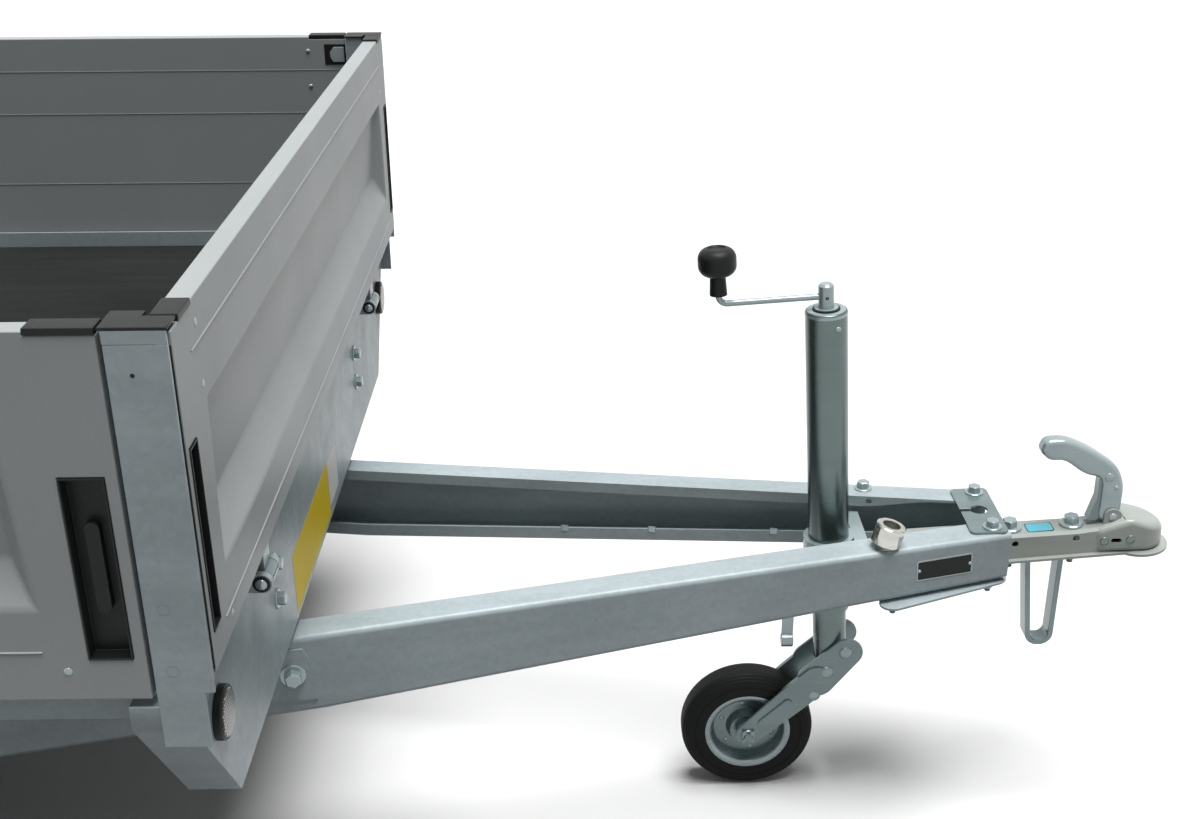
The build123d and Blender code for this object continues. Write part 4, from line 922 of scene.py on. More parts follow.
@dataclass
class Solids(Assembly):
    """The carried-over solids: each gets its finish, and sharp ones a softened copy."""

    FINISH_OF = {
        "panel_steel": "panel_aluminium", "galvanised": "zinc_galvanised",
        "zinc_bright": "zinc_plated", "black_plastic": "black_nylon", "ply": "floor_film",
        "rubber_tyre": "tyre_rubber", "wheel_steel": "wheel_silver", "hub_iron": "hub_cast",
        "clear_reflector": "reflector_clear", "lamp_lens": "lens_red",
    }
    SPECIAL = {
        # The jockey tube and leg take the darkest zinc, whose darkness is painted shade.
        "jockey_outer_tube": "darkest_zinc_and_shade", "jockey_leg": "darkest_zinc_and_shade",
        "coupling_head": "coupling_zinc", "plug_ring": "yellow_passivate",
        # The fork, rim, foot and bridge plates take the darker zinc, partly painted shade for where
        # they sit under the drawbar.
        **dict.fromkeys(("jockey_fork", "jockey_rim", "parking_foot", "bridge_plate_top",
                         "bridge_plate_low"), "dark_zinc_and_shade"),
    }
    # Room in the coupling's head for its hood, in the head's frame
    HOOD_ROOM = ((-0.030, -0.060, 0.0043), (0.060, 0.060, 0.090))
    # Width of the softened edges of each sharp solid
    EDGES = {
        "floor_board": 0.001, "floor_bearers": 0.001, "axle_tube": 0.0015,
        "front_plate": 0.0018, "rear_plate": 0.0018, "coupling_head": 0.0014,
        "parking_foot": 0.0015, "bridge_plate_top": 0.0008, "bridge_plate_low": 0.0008,
        "plug_ring": 0.0005, "jockey_clamp": 0.001, "jockey_crank": 0.0006,
        "jockey_fork": 0.0011,
        **{f"{board}_locks": 0.0008 for board in ("front_board", "tailboard", "side_board_left",
                                                  "side_board_right")},
        **{f"{node}_{side}": width for side in ("left", "right") for node, width in (
            ("corner_post_front", 0.0012), ("corner_post_rear", 0.0012),
            ("chassis_rail", 0.0012), ("side_rail", 0.001), ("axle_bracket", 0.001),
            ("axle_arm", 0.003))},
    }

    def build(self) -> None:
        """Dress every solid, and lay a softened copy over each sharp one."""
        slots = {s["node"]: s["material_slot"] for s in frame["record"]["subparts"]}
        body_of = {n: body for body, nodes in frame["record"]["behaviour"]["bodies"].items()
                   for n in nodes}
        for node, solid in frame["nodes"].items():
            finish = self.SPECIAL.get(node, self.FINISH_OF[slots[node]])
            self.finishes.dress(solid, finish)
            if node in self.EDGES:
                self.add(self._softened(node, solid), body_of[node], finish, [node])

    def _softened(self, node: str, solid: Piece) -> Piece:
        """Return a copy of a solid with its loose triangles merged and its edges softened.

        Args:
            node: The solid's name.
            solid: The solid.

        Returns:
            The softened copy.
        """
        Bench.clear()
        piece = bpy.data.objects.new(f"{node}_soft", solid.data.copy())
        bpy.context.collection.objects.link(piece)
        Bench.only(piece)
        bpy.ops.object.mode_set(mode="EDIT")
        bpy.ops.mesh.select_all(action="SELECT")
        bpy.ops.mesh.remove_doubles(threshold=2e-5)
        bpy.ops.mesh.dissolve_limited(angle_limit=math.radians(0.6))
        bpy.ops.object.mode_set(mode="OBJECT")
        if node == "coupling_head":
            Bench.cut(piece, [Bench.place(Bench.box("room", *self.HOOD_ROOM), HEAD_PLACE)])
        Bench.soften(piece, self.EDGES[node], 2, 40)
        return piece


@dataclass
class FrontFrame(Assembly):
    """Bolts, hinge pins, reflectors and blank stickers on the frame's front."""

    fasteners: Fasteners
    plate_x: float = 0.628
    bolt_y: float = 0.350
    bolt_z: tuple[float, float] = (0.607, 0.556)
    hinge_y: float = 0.460
    hinge_reach: float = 0.026
    hinge_z: float = 0.657
    hinge_set: float = 0.013
    root_ahead: float = -0.040
    root_z: float = 0.392
    tab_t: float = 0.003
    tab: Outline = ((-0.034, -0.042), (0.030, -0.042), (0.030, 0.012), (0.016, 0.040),
                    (-0.034, 0.040))
    reflector_y: float = 0.650
    reflector_z: float = 0.599
    reflector_r: float = 0.030

    def build(self) -> None:
        """Make and fit every piece."""
        self._bolts()
        self._hinge_pins()
        self._reflectors()
        self._stickers()

    def _bolts(self) -> None:
        """Bolt the plate to the chassis rails and the beams to their brackets."""
        places = [Bench.facing((self.plate_x, side * self.bolt_y, z), FORWARD, 12 * side)
                  for side in SIDES for z in self.bolt_z]
        self.set_out("front_plate_bolts", self.fasteners.bolt(0.95), places)
        roots = [(web_point(self.root_ahead, side, self.root_z), side) for side in SIDES]
        tabs = [Bench.facing(root, web_out(side)) @ Matrix.Diagonal((-side, 1, 1, 1))
                for root, side in roots]
        self.set_out("drawbar_root_tabs", Bench.plate("tab", self.tab, self.tab_t, 0.001), tabs,
                     "zinc_galvanised")
        places = [Bench.facing(root + web_out(side) * self.tab_t, web_out(side), 8)
                  for root, side in roots]
        self.set_out("drawbar_root_bolts", self.fasteners.bolt(1.25), places)

    def _hinge_pins(self) -> None:
        """Give every hinge pin its domed ends in dark washers."""
        places = [Bench.facing((x, side * self.hinge_y + way * self.hinge_reach, self.hinge_z),
                               (0, way, 0))
                  for x in (FRONT_X - self.hinge_set, TAIL_X + self.hinge_set)
                  for side in SIDES for way in SIDES]
        self.set_out("end_hinge_pin_domes", Fasteners.rivet(0.0075, 0.0055, 24), places)
        washer = Bench.turned("washer", [(0.007, 0.0), (0.0102, 0.0), (0.0102, 0.0012),
                                         (0.0085, 0.002), (0.007, 0.002), (0.007, 0.0)], 28)
        self.set_out("end_hinge_washers", washer, places, "black_nylon")

    def _reflectors(self) -> None:
        """Make each reflector a honeycomb lens in a black mount."""
        r = self.reflector_r
        places = [Bench.facing((self.plate_x, side * self.reflector_y, self.reflector_z), FORWARD)
                  for side in SIDES]
        mount = [(0, 0), (r, 0), (r, 0.008), (r - 0.0012, 0.0095), (r - 0.003, 0.0095),
                 (r - 0.003, 0.008), (0, 0.008)]
        self.set_out("front_reflector_mounts", Bench.turned("mount", mount, 48, 32), places,
                     "black_nylon", stands_for=["front_reflectors"])
        lens = [(0, 0.0078), (r - 0.0034, 0.0078), (r - 0.0034, 0.0098), (r - 0.005, 0.0112),
                (r * 0.5, 0.0118), (0, 0.012)]
        self.set_out("front_reflector_lenses", Bench.turned("lens", lens, 48, 32), places,
                     "reflector_clear")

    def _stickers(self) -> None:
        """Lay the blank stickers on the plate."""
        for name, finish, y, z, width, height in (
                ("yellow_sticker", "sticker_yellow", -0.104, 0.513, 0.282, 0.086),
                ("white_sticker", "sticker_white", 0.0785, 0.516, 0.075, 0.070)):
            piece = Bench.plate(name, rounded(width, height, 0.004), 0.0004, 0.0001, 1)
            Bench.place(piece, Bench.facing((self.plate_x, y, z), FORWARD))
            self.add(piece, "chassis", finish)


@dataclass
class Board(Assembly):
    """One drop-down board: its folded sheet, seams, hinge knuckles, caps and screws.

    The board's own frame has X along it, Y upwards from the ground and Z out of its face.
    """

    name: str
    face: Matrix
    length: float
    low: float
    hinge_y: float
    hinges: tuple[float, ...]
    # Lock pocket: width, distance from the board's end, foot as a share of the height
    lock: Point
    # Cap: start and end, measured inward from the board's end
    cap: tuple[float, float]
    field_in: float
    seam_in: float
    screws: Outline
    top: float = 1.064
    thick: float = 0.026
    set_back: float = 0.0013
    # Field: lower edge, lower and upper line of its floor, upper edge
    field: tuple[float, float, float, float] = (0.7810, 0.8290, 0.9530, 0.9610)
    field_depth: float = 0.0225
    field_lean: float = 0.0105
    end_slope: float = 0.024
    fold: float = 0.0045
    lock_low: float = 0.707
    lock_tall: float = 0.546
    lock_depth: float = 0.018
    clear: float = 0.004
    seat_room: float = 0.002
    seams: tuple[float, float] = (0.7357, 1.0198)
    inner_seams: Point = (0.802, 0.930, 1.006)
    cap_y: tuple[float, float] = (1.060, 1.067)
    # Knuckle: radius and height round its hollow
    knuckle: Outline = ((0.0063, -0.015), (0.0112, -0.015), (0.012, -0.0142), (0.012, 0.0142),
                        (0.0112, 0.015), (0.0063, 0.015), (0.0063, -0.015))

    def build(self) -> None:
        """Make and fit every piece."""
        self._sheet()
        self._seams()
        self._knuckles()
        half = self.length / 2
        caps = []
        for s in SIDES:
            near, far = sorted(s * (half - back) for back in self.cap)
            caps.append(Bench.box("cap", (near, self.cap_y[0], -self.thick),
                                  (far, self.cap_y[1], 0.0), 0.0014))
        self._fit(Bench.joined(f"{self.name}_flat_caps", caps), "black_nylon",
                  [f"{self.name}_caps"])
        spots = [shifted(s * (half - back), y, -self.set_back)
                 for s in SIDES for back, y in self.screws]
        screws = Bench.copies(Fasteners.rivet(0.0044, 0.0010), f"{self.name}_screws", spots)
        self._fit(screws, "zinc_plated")

    def _fit(self, piece: Piece, finish: str, stands_for: Sequence[str] = ()) -> None:
        """Carry a piece from the board's frame to the trailer and hand it over."""
        self.add(Bench.place(piece, self.face), self.name, finish, stands_for)

    def _sheet(self) -> None:
        """Press the sloped field into the sheet and cut its lock pockets and cap seats."""
        half, face = self.length / 2, -self.set_back
        sheet = Bench.box(f"{self.name}_sheet", (-half, self.low, -self.thick),
                          (half, self.top, face))
        Bench.cut(sheet, [self._field()])
        margin, hair = 0.02, 1e-5
        Bench.pick(sheet, lambda f: face - hair > f.center.z > -self.field_depth - hair
                   and self.low + margin < f.center.y < self.top - margin
                   and abs(f.center.x) < half - margin)
        bpy.ops.mesh.bevel(offset=self.fold, segments=4, affect="EDGES")
        bpy.ops.object.mode_set(mode="OBJECT")
        wide, back, share = self.lock
        tall = self.lock_tall * (self.top - self.lock_low)
        foot = self.lock_low + share * (self.top - self.lock_low)
        mids = [s * (half - back) for s in SIDES]
        tools = [Bench.box("pocket", (mid - wide / 2, foot, -self.lock_depth),
                           (mid + wide / 2, foot + tall, self.clear)) for mid in mids]
        reach = self.cap[1] / 2
        mids = [s * (half + self.seat_room - reach) for s in SIDES]
        reach += self.seat_room
        tools += [Bench.box("seat", (mid - reach, self.cap_y[0], -self.thick - self.clear),
                            (mid + reach, self.top + self.clear, self.clear)) for mid in mids]
        Bench.cut(sheet, tools)
        Bench.soften(sheet, 0.0016, 3, 35)
        self._fit(sheet, "panel_aluminium", [self.name])

    def _field(self) -> Piece:
        """Return the solid that the field leaves out of the sheet, with its leaning floor."""
        low_edge, low_floor, top_floor, top_edge = self.field
        reach = self.length / 2 - self.field_in
        short = reach - self.end_slope
        deep = -self.field_depth
        shallow = self.field_lean - self.field_depth
        field = Bench.chain("field", [(-short, low_floor, deep), (short, low_floor, deep),
                                      (short, top_floor, shallow), (-short, top_floor, shallow)])
        bpy.ops.mesh.select_all(action="SELECT")
        bpy.ops.mesh.edge_face_add()
        bpy.ops.mesh.extrude_region_move(TRANSFORM_OT_translate={
            "value": (0, (low_edge + top_edge - low_floor - top_floor) / 2, self.field_depth)})
        bpy.ops.transform.resize(value=(reach / short,
                                        (top_edge - low_edge) / (top_floor - low_floor), 1))
        Bench.close()
        return field

    def _seams(self) -> None:
        """Roll a thin seam along the face above and below the field, and fine ones inside."""
        bead = Bench.block("bead", (self.length - 2 * self.seam_in, 0.0030, 0.0030), 0.0004)
        spots = [shifted(0, y, -0.0021) @ rotated(45, "X") for y in self.seams]
        outer = Bench.copies(bead, "outer", spots)
        line = Bench.block("line", (self.length - 0.02, 0.0012, 0.0012), 0.0002)
        inner = Bench.copies(line, "inner", [shifted(0, y, -self.thick) for y in self.inner_seams])
        self._fit(Bench.joined(f"{self.name}_seams", [outer, inner]), "panel_aluminium")

    def _knuckles(self) -> None:
        """Hang the hinge knuckles and their leaves under the board."""
        tube = Bench.place(Bench.turned("tube", self.knuckle, 40, 32), rotated(90, "Y"))
        leaf = Bench.box("leaf", (-0.015, 0.0100, -0.003),
                         (0.015, self.low - self.hinge_y + 0.001, 0.003), 0.0008)
        spots = [shifted(x, self.hinge_y, -self.thick / 2) for x in self.hinges]
        knuckle = Bench.joined("knuckle", [tube, leaf])
        # The knuckles take the darker zinc, which paints the shade under the board.
        self._fit(Bench.copies(knuckle, f"{self.name}_knuckles", spots), "dark_zinc_and_shade")


@dataclass
class Boards(Assembly):
    """The four drop-down boards, the latches on the side boards and the posts between them."""

    mid_x: float = -0.616
    board_t: float = 0.026
    pocket: tuple[float, float] = (0.038, 0.036)
    pocket_x: float = 0.576
    pocket_z: float = 1.033
    tongue: Outline = ((-0.004, -0.013), (0.016, -0.013), (0.016, 0.013), (-0.002, 0.013),
                       (-0.009, 0.004), (-0.009, -0.004))
    tongue_t: float = 0.002
    seal: Point = (0.020, 0.0022, 0.335)
    seal_x: float = 0.6475
    seal_y: float = 0.7379
    seal_z: float = 0.880
    # Post seen from above: back, end of its tube and front of its flange
    post_x: Point = (0.599, 0.626, 0.656)
    # Foot of the post's top, foot and top of its cover
    post_z: Point = (1.051, 1.0638, 1.067)
    post_in: float = 0.0425
    flange: float = 0.003
    cover: float = 0.031
    lip_low: float = 0.690

    def build(self) -> None:
        """Make and fit every piece."""
        for name, x, way in (("front_board", FRONT_X, 1), ("tailboard", TAIL_X, -1)):
            Board(self.finishes, name, Bench.facing((x, 0, 0), (way, 0, 0)), length=1.473,
                  low=0.707, hinge_y=0.657, hinges=(-0.4601, 0.4601), lock=(0.027, 0.022, 0.112),
                  cap=(0.025, 0.070), field_in=0.078, seam_in=0.055,
                  screws=((0.080, 1.039), (0.080, 0.977), (0.080, 0.725))).build()
        for side, name in ((1, "side_board_left"), (-1, "side_board_right")):
            face = Bench.facing((self.mid_x, side * HALF_WIDTH, 0), (0, side, 0))
            Board(self.finishes, name, face, length=2.420, low=0.681, hinge_y=0.641,
                  hinges=(-0.8499, 0.0, 0.8499), lock=(0.043, 0.0335, 0.056), cap=(0.0, 0.063),
                  field_in=0.095, seam_in=0.098, screws=((0.077, 0.714),)).build()
            self._latches(name, side)
        self._posts()

    def _ends(self, x: float) -> list[float]:
        """Return a place near the front and its twin near the tail."""
        return [x, 2 * self.mid_x - x]

    def _latches(self, board: str, side: int) -> None:
        """Fit a side board's inner face with screws and its latch pockets.

        Args:
            board: The board's name.
            side: 1 for left, -1 for right.
        """
        inner = side * (HALF_WIDTH - self.board_t)
        places = [Bench.facing((x, inner, z), (0, -side, 0))
                  for x in self._ends(0.528) for z in (1.039, 0.977, 0.74)]
        self.set_out(f"{board}_inner_screws", Fasteners.rivet(0.0042, 0.0018), places, body=board)
        tray = Bench.block("tray", (self.pocket[0], 0.0012, self.pocket[1]), 0.0004, 1)
        spots = [shifted(x, inner - side * 0.0002, self.pocket_z)
                 for x in self._ends(self.pocket_x)]
        self.set_out(f"{board}_pockets", tray, spots, "black_nylon", board)
        spots = [shifted(x, inner - side * 0.0006, self.pocket_z)
                 @ Matrix.Diagonal((1 if x > self.mid_x else -1, 1, 1, 1)) @ UPRIGHT
                 @ shifted(0, 0, 0.0 if side > 0 else -self.tongue_t)
                 for x in self._ends(self.pocket_x)]
        self.set_out(f"{board}_latches", Bench.plate("tongue", self.tongue, self.tongue_t, 0.0006),
                     spots, "zinc_galvanised", board)

    def _posts(self) -> None:
        """Top the posts, mark their flush rivets and seal the gaps beside the end boards."""
        places = [Bench.facing((x, side * HALF_WIDTH, z), (0, side, 0))
                  for side in SIDES for x in self._ends(0.618) for z in (0.783, 0.7135)]
        ring = [(0.0058, 0.0), (0.0064, 0.0001), (0.0056, 0.0001), (0.0054, 0.0)]
        self.set_out("post_rivet_rings", Bench.turned("head", ring, 28), places, "darkest_zinc_and_shade")
        places = [shifted(x, side * self.seal_y, self.seal_z)
                  for side in SIDES for x in self._ends(self.seal_x)]
        self.set_out("corner_seals", Bench.block("seal", self.seal, 0.0008), places, "black_nylon")
        back, tube, front = self.post_x
        low, mid, top = self.post_z
        outline = self._angle(back, tube, front, self.post_in, self.flange)
        piece = Bench.place(Bench.plate("top", outline, mid - low, 0.0004), shifted(0, 0, low))
        self._cornered(piece, "post_tops", "zinc_galvanised")
        outline = self._angle(back - 0.003, tube + 0.002, front + 0.0015, self.post_in + 0.002,
                              self.cover)
        piece = Bench.place(Bench.plate("cover", outline, top - mid, 0.0011), shifted(0, 0, mid))
        self._cornered(piece, "post_covers", "black_nylon", ["post_caps"])
        lip = Bench.box("lip", (front - 0.012, HALF_WIDTH - 0.0055, self.lip_low),
                        (front + 0.0004, HALF_WIDTH - 0.0001, mid - 0.0002), 0.0024)
        self._cornered(lip, "post_lips", "zinc_galvanised")
        # Each hole is a thin black disc: painted shade inside the post's hole.
        hole_shade_disc = Bench.turned("hole_shade_disc", [(0, 0), (0.0022, 0), (0.0022, 0.0001), (0, 0.0001)], 16)
        places = [Bench.facing((x, side * HALF_WIDTH, 1.022), (0, side, 0))
                  for side in SIDES for x in self._ends(0.622)]
        self.set_out("post_hole_shade_discs", hole_shade_disc, places, "black_nylon")

    @staticmethod
    def _angle(back: float, tube: float, front: float, deep: float, shallow: float) -> Outline:
        """Return the outline of a post seen from above: a tube with a flange ahead of it."""
        return ((back, HALF_WIDTH - deep), (tube, HALF_WIDTH - deep), (tube, HALF_WIDTH - shallow),
                (front, HALF_WIDTH - shallow), (front, HALF_WIDTH), (back, HALF_WIDTH))

    def _cornered(self, piece: Piece, name: str, finish: str,
                  stands_for: Sequence[str] = ()) -> None:
        """Set a piece in every corner, with its faces outward in the mirrored ones too.

        Args:
            piece: The piece in the front left corner, which is used up.
            name: The joined piece's name.
            finish: Its finish.
            stands_for: Solids that it is shown in place of.
        """
        corners = [shifted(self.mid_x, 0, 0) @ Matrix.Diagonal((way, side, 1, 1))
                   @ shifted(-self.mid_x, 0, 0) for way in (1, -1) for side in (1, -1)]
        made = Bench.copies(piece, name, corners)
        Bench.only(made)
        bpy.ops.object.mode_set(mode="EDIT")
        Bench.close()
        self.add(made, "chassis", finish, stands_for)


@dataclass
class Drawbar(Assembly):
    """Bolts, straps, type plate and cable clips of the drawbar."""

    fasteners: Fasteners
    bridge_t: float = 0.0043
    bridge_ahead: float = 0.950
    bridge_y: float = 0.055
    ring_ahead: float = 0.787
    ring_y: float = 0.092
    # Nuts below, and the ends of the straps under them: ahead, across
    nuts: Outline = ((0.950, 0.060), (0.802, 0.100))
    nuts_down: float = -0.0083
    strap_ends: Outline = ((0.802, 0.104), (0.958, 0.056))
    strap_wide: float = 0.040
    strap_down: float = -0.0082
    plate_ahead: float = 0.876
    plate_z: float = 0.4405
    plate_size: tuple[float, float] = (0.086, 0.033)
    plate_t: float = 0.0006
    plate_edge: float = 0.004
    clip_ahead: tuple[float, ...] = (0.33, 0.47, 0.66)
    clip_lift: float = 0.0195
    clip_in: float = 0.0445

    def build(self) -> None:
        """Make and fit every piece."""
        self._bolts()
        self._straps()
        self._type_plate()
        self._clips()

    def _bolts(self) -> None:
        """Bolt the bridges and the clamp to the beams."""
        tops = [Bench.facing(roof_point(ahead, side * y, lift), ROOF_UP, turn)
                for ahead, y, lift, turn in ((self.bridge_ahead, self.bridge_y, self.bridge_t, 20),
                                             (self.ring_ahead, self.ring_y, 0.0003, 5))
                for side in SIDES]
        self.set_out("drawbar_top_bolts", self.fasteners.bolt(1.0), tops)
        lows = [Bench.facing(nose_point(ahead, side * y, self.nuts_down), -NOSE_UP, 11)
                for side in SIDES for ahead, y in self.nuts]
        self.set_out("drawbar_low_nuts", self.fasteners.nut_end(0.85), lows)

    def _straps(self) -> None:
        """Lay a round-ended strap under each beam, from the bridge out to the web."""
        ends = self.strap_ends
        length = math.dist(*ends) + self.strap_wide
        turn = math.atan2(ends[1][1] - ends[0][1], ends[1][0] - ends[0][0])
        strap = Bench.plate("strap", rounded(length, self.strap_wide, 0.0199, 8), 0.004, 0.0008)
        mid_a, mid_y = ((a + b) / 2 for a, b in zip(*ends))
        pitch = Vector((0, 0, 1)).rotation_difference(NOSE_UP).to_matrix().to_4x4()
        places = [Matrix.Translation(nose_point(mid_a, side * mid_y, self.strap_down)) @ pitch
                  @ Matrix.Rotation(side * turn, 4, "Z") for side in SIDES]
        self.set_out("drawbar_straps", strap, places, "zinc_galvanised")

    def _type_plate(self) -> None:
        """Rivet the blank type plate to the near beam."""
        width, height = self.plate_size
        edge = self.plate_edge
        slope = math.degrees(math.atan(BEAM_RISE + 0.02))
        where = Bench.facing(web_point(self.plate_ahead, -1, self.plate_z), web_out(-1), slope)
        plate = Bench.plate("type_plate", rounded(width, height, 0.002), self.plate_t, 0.0002, 1)
        self.add(Bench.place(plate, where), "chassis", "zinc_plated")
        face = Bench.plate("type_plate_face", rounded(width - edge, height - edge, 0.0015),
                           self.plate_t + 0.0002, 0.0001, 1)
        self.add(Bench.place(face, where), "chassis", "black_nylon")
        spots = [where @ shifted(side * (width / 2 - edge), 0, self.plate_t) for side in SIDES]
        self.set_out("type_plate_rivets", Fasteners.rivet(0.0028, 0.0016), spots)

    def _clips(self) -> None:
        """Hook the empty cable clips over the far beam's lower lip."""
        places = []
        for ahead in self.clip_ahead:
            web = web_point(ahead, 1, NOSE_FLOOR_Z + NOSE_RISE * ahead + self.clip_lift)
            places.append(Matrix.Translation(web - web_out(1) * self.clip_in)
                          @ Matrix.Rotation(-BEAM_TURN, 4, "Z"))
        self.set_out("cable_clips", Bench.block("clip", (0.012, 0.0034, 0.010), 0.001), places)


@dataclass
class Coupling(Assembly):
    """Bolts, pins and small parts of the ball coupling and its lever."""

    fasteners: Fasteners
    # Bolts: ahead, lift of the washer's foot
    bolts: Outline = ((0.997, 0.0430), (1.089, 0.0416))
    nuts_down: float = -0.0042
    # Pins and slots, in the head's frame
    pins: tuple[Point, ...] = ((-0.058, 0.0272, 0.0235), (-0.021, 0.0316, 0.0255))
    slot: Point = (-0.049, -0.034, 0.0240)
    # Hood, in the head's frame: half its plan, its foot and height, the planes of its top
    hood_half: Outline = ((-0.072, 0.0258), (-0.030, 0.0310), (0.0, 0.0335))
    hood_foot: float = 0.0035
    hood_tall: float = 0.066
    hood_round: float = 0.011
    hood_top: tuple[tuple[Point, Point], ...] = (((-0.066, 0, 0.0440), (-0.315, 0, 1)),
                                                 ((-0.020, 0, 0.0585), (0.36, 0, 1)))
    cup_r: float = 0.0256
    cup_mid: float = 0.016
    pivot: tuple[float, float] = (1.799, 0.4794)
    lever_half: float = 0.013
    ear: float = 0.0046
    grip: Outline = (
        (-0.021, -0.011), (0.012, -0.011), (0.0135, 0.048), (0.000, 0.080), (-0.040, 0.107),
        (-0.080, 0.125), (-0.112, 0.124), (-0.119, 0.105), (-0.103, 0.090), (-0.080, 0.091),
        (-0.048, 0.067), (-0.022, 0.062), (-0.021, 0.030))
    leaf: Outline = ((-0.034, -0.009), (-0.018, -0.009), (-0.018, 0.061), (-0.025, 0.061),
                     (-0.0245, 0.028))
    leaf_half: float = 0.009

    def build(self) -> None:
        """Make and fit every piece."""
        tops = [Bench.facing(nose_point(ahead, 0, lift), NOSE_UP, 24)
                for ahead, lift in self.bolts]
        self.set_out("coupling_bolts", self.fasteners.bolt(1.15, 1.1, 1.7), tops)
        lows = [Bench.facing(nose_point(ahead, 0, self.nuts_down), -NOSE_UP, 10)
                for ahead, _ in self.bolts]
        self.set_out("coupling_nuts", self.fasteners.nut_end(0.95), lows)
        self._hood()
        self._sticker()
        self._pins()
        self._lever()

    def _hood(self) -> None:
        """Shape the wedge-topped hood over the ball, with its cup and side slots."""
        nose = self.hood_half[-1][1]
        bow = [(nose * math.cos(a), nose * math.sin(a))
               for a in (math.pi * (k / 26 - 0.5) for k in range(1, 26))]
        outline = [*((x, -y) for x, y in self.hood_half), *bow, *reversed(self.hood_half)]
        hood = Bench.plate("coupling_hood", outline, self.hood_tall, 0.0)
        Bench.place(hood, shifted(0, 0, self.hood_foot))
        Bench.only(hood)
        bpy.ops.object.mode_set(mode="EDIT")
        for point, normal in self.hood_top:
            bpy.ops.mesh.select_all(action="SELECT")
            bpy.ops.mesh.bisect(plane_co=point, plane_no=Vector(normal).normalized(),
                                use_fill=True, clear_outer=True)
        Bench.close()
        Bench.soften(hood, self.hood_round, 6, 14)
        arc = [(self.cup_r * math.cos(a), self.cup_mid + self.cup_r * math.sin(a))
               for a in (math.pi * k / 20 for k in range(10))]
        tip = (0.0, self.cup_mid + self.cup_r)
        tools = [Bench.turned("cup", [(0.0, -0.002), (self.cup_r, -0.002), *arc, tip])]
        start, end, lift = self.slot
        for side in SIDES:
            slot = Bench.plate("slot", rounded(end - start, 0.0075, 0.0036, 5), 0.012, 0.0)
            where = shifted((start + end) / 2, side * 0.030 + 0.006, lift)
            tools.append(Bench.place(slot, where @ UPRIGHT))
        Bench.cut(hood, tools)
        Bench.soften(hood, 0.0004, 1)
        self.add(Bench.place(hood, HEAD_PLACE), "chassis", "coupling_zinc")

    def _sticker(self) -> None:
        """Lay the blank sticker between the bolts."""
        where = Bench.facing(nose_point(1.040, -0.003, 0.0424), NOSE_UP)
        for name, finish, size, lift in (
                ("coupling_sticker_edge", "black_nylon", (0.026, 0.040), 0.0003),
                ("coupling_sticker", "sticker_blue", (0.0235, 0.0375), 0.0005)):
            piece = Bench.plate(name, rounded(*size, 0.004), lift, 0.0001, 1)
            self.add(Bench.place(piece, where), "chassis", finish)

    def _pins(self) -> None:
        """Head the pins that cross the channel and the lever's pivot."""
        spots = [HEAD_PLACE @ spot for pin in self.pins for spot in Bench.flanks(*pin)]
        self.set_out("coupling_pins", Fasteners.rivet(0.0068, 0.0026), spots, "darkest_zinc_and_shade")
        x, z = self.pivot
        self.set_out("lever_pivot_pin", Fasteners.rivet(0.0065, 0.0022),
                     Bench.flanks(x, self.lever_half + self.ear, z))

    def _lever(self) -> None:
        """Round the lever's grip, rivet its halves and give it its button and latch leaf."""
        x, z = self.pivot
        grip = Bench.plate("lever_grip", smoothed(self.grip), 2 * self.lever_half, 0.0085, 5)
        Bench.place(grip, shifted(x, self.lever_half, z) @ UPRIGHT)
        self.add(grip, "chassis", "zinc_plated", ["coupling_lever"])
        for name, radius, dx, dz in (("lever_rivets", 0.0068, -0.012, 0.064),
                                     ("lever_small_rivets", 0.0036, 0.000, 0.047)):
            self.set_out(name, Fasteners.rivet(radius, 0.0016),
                         Bench.flanks(x + dx, self.lever_half, z + dz))
        self.set_out("lever_button", Fasteners.rivet(0.0065, 0.0045, 24),
                     [Bench.facing((x - 0.1105, 0, z + 0.1115), (-0.82, 0, 0.25))])
        piece = Bench.plate("lever_latch_leaf", self.leaf, 2 * self.leaf_half, 0.0005)
        Bench.place(piece, shifted(x, self.leaf_half, z) @ UPRIGHT)
        self.add(piece, "chassis", "darkest_zinc_and_shade")


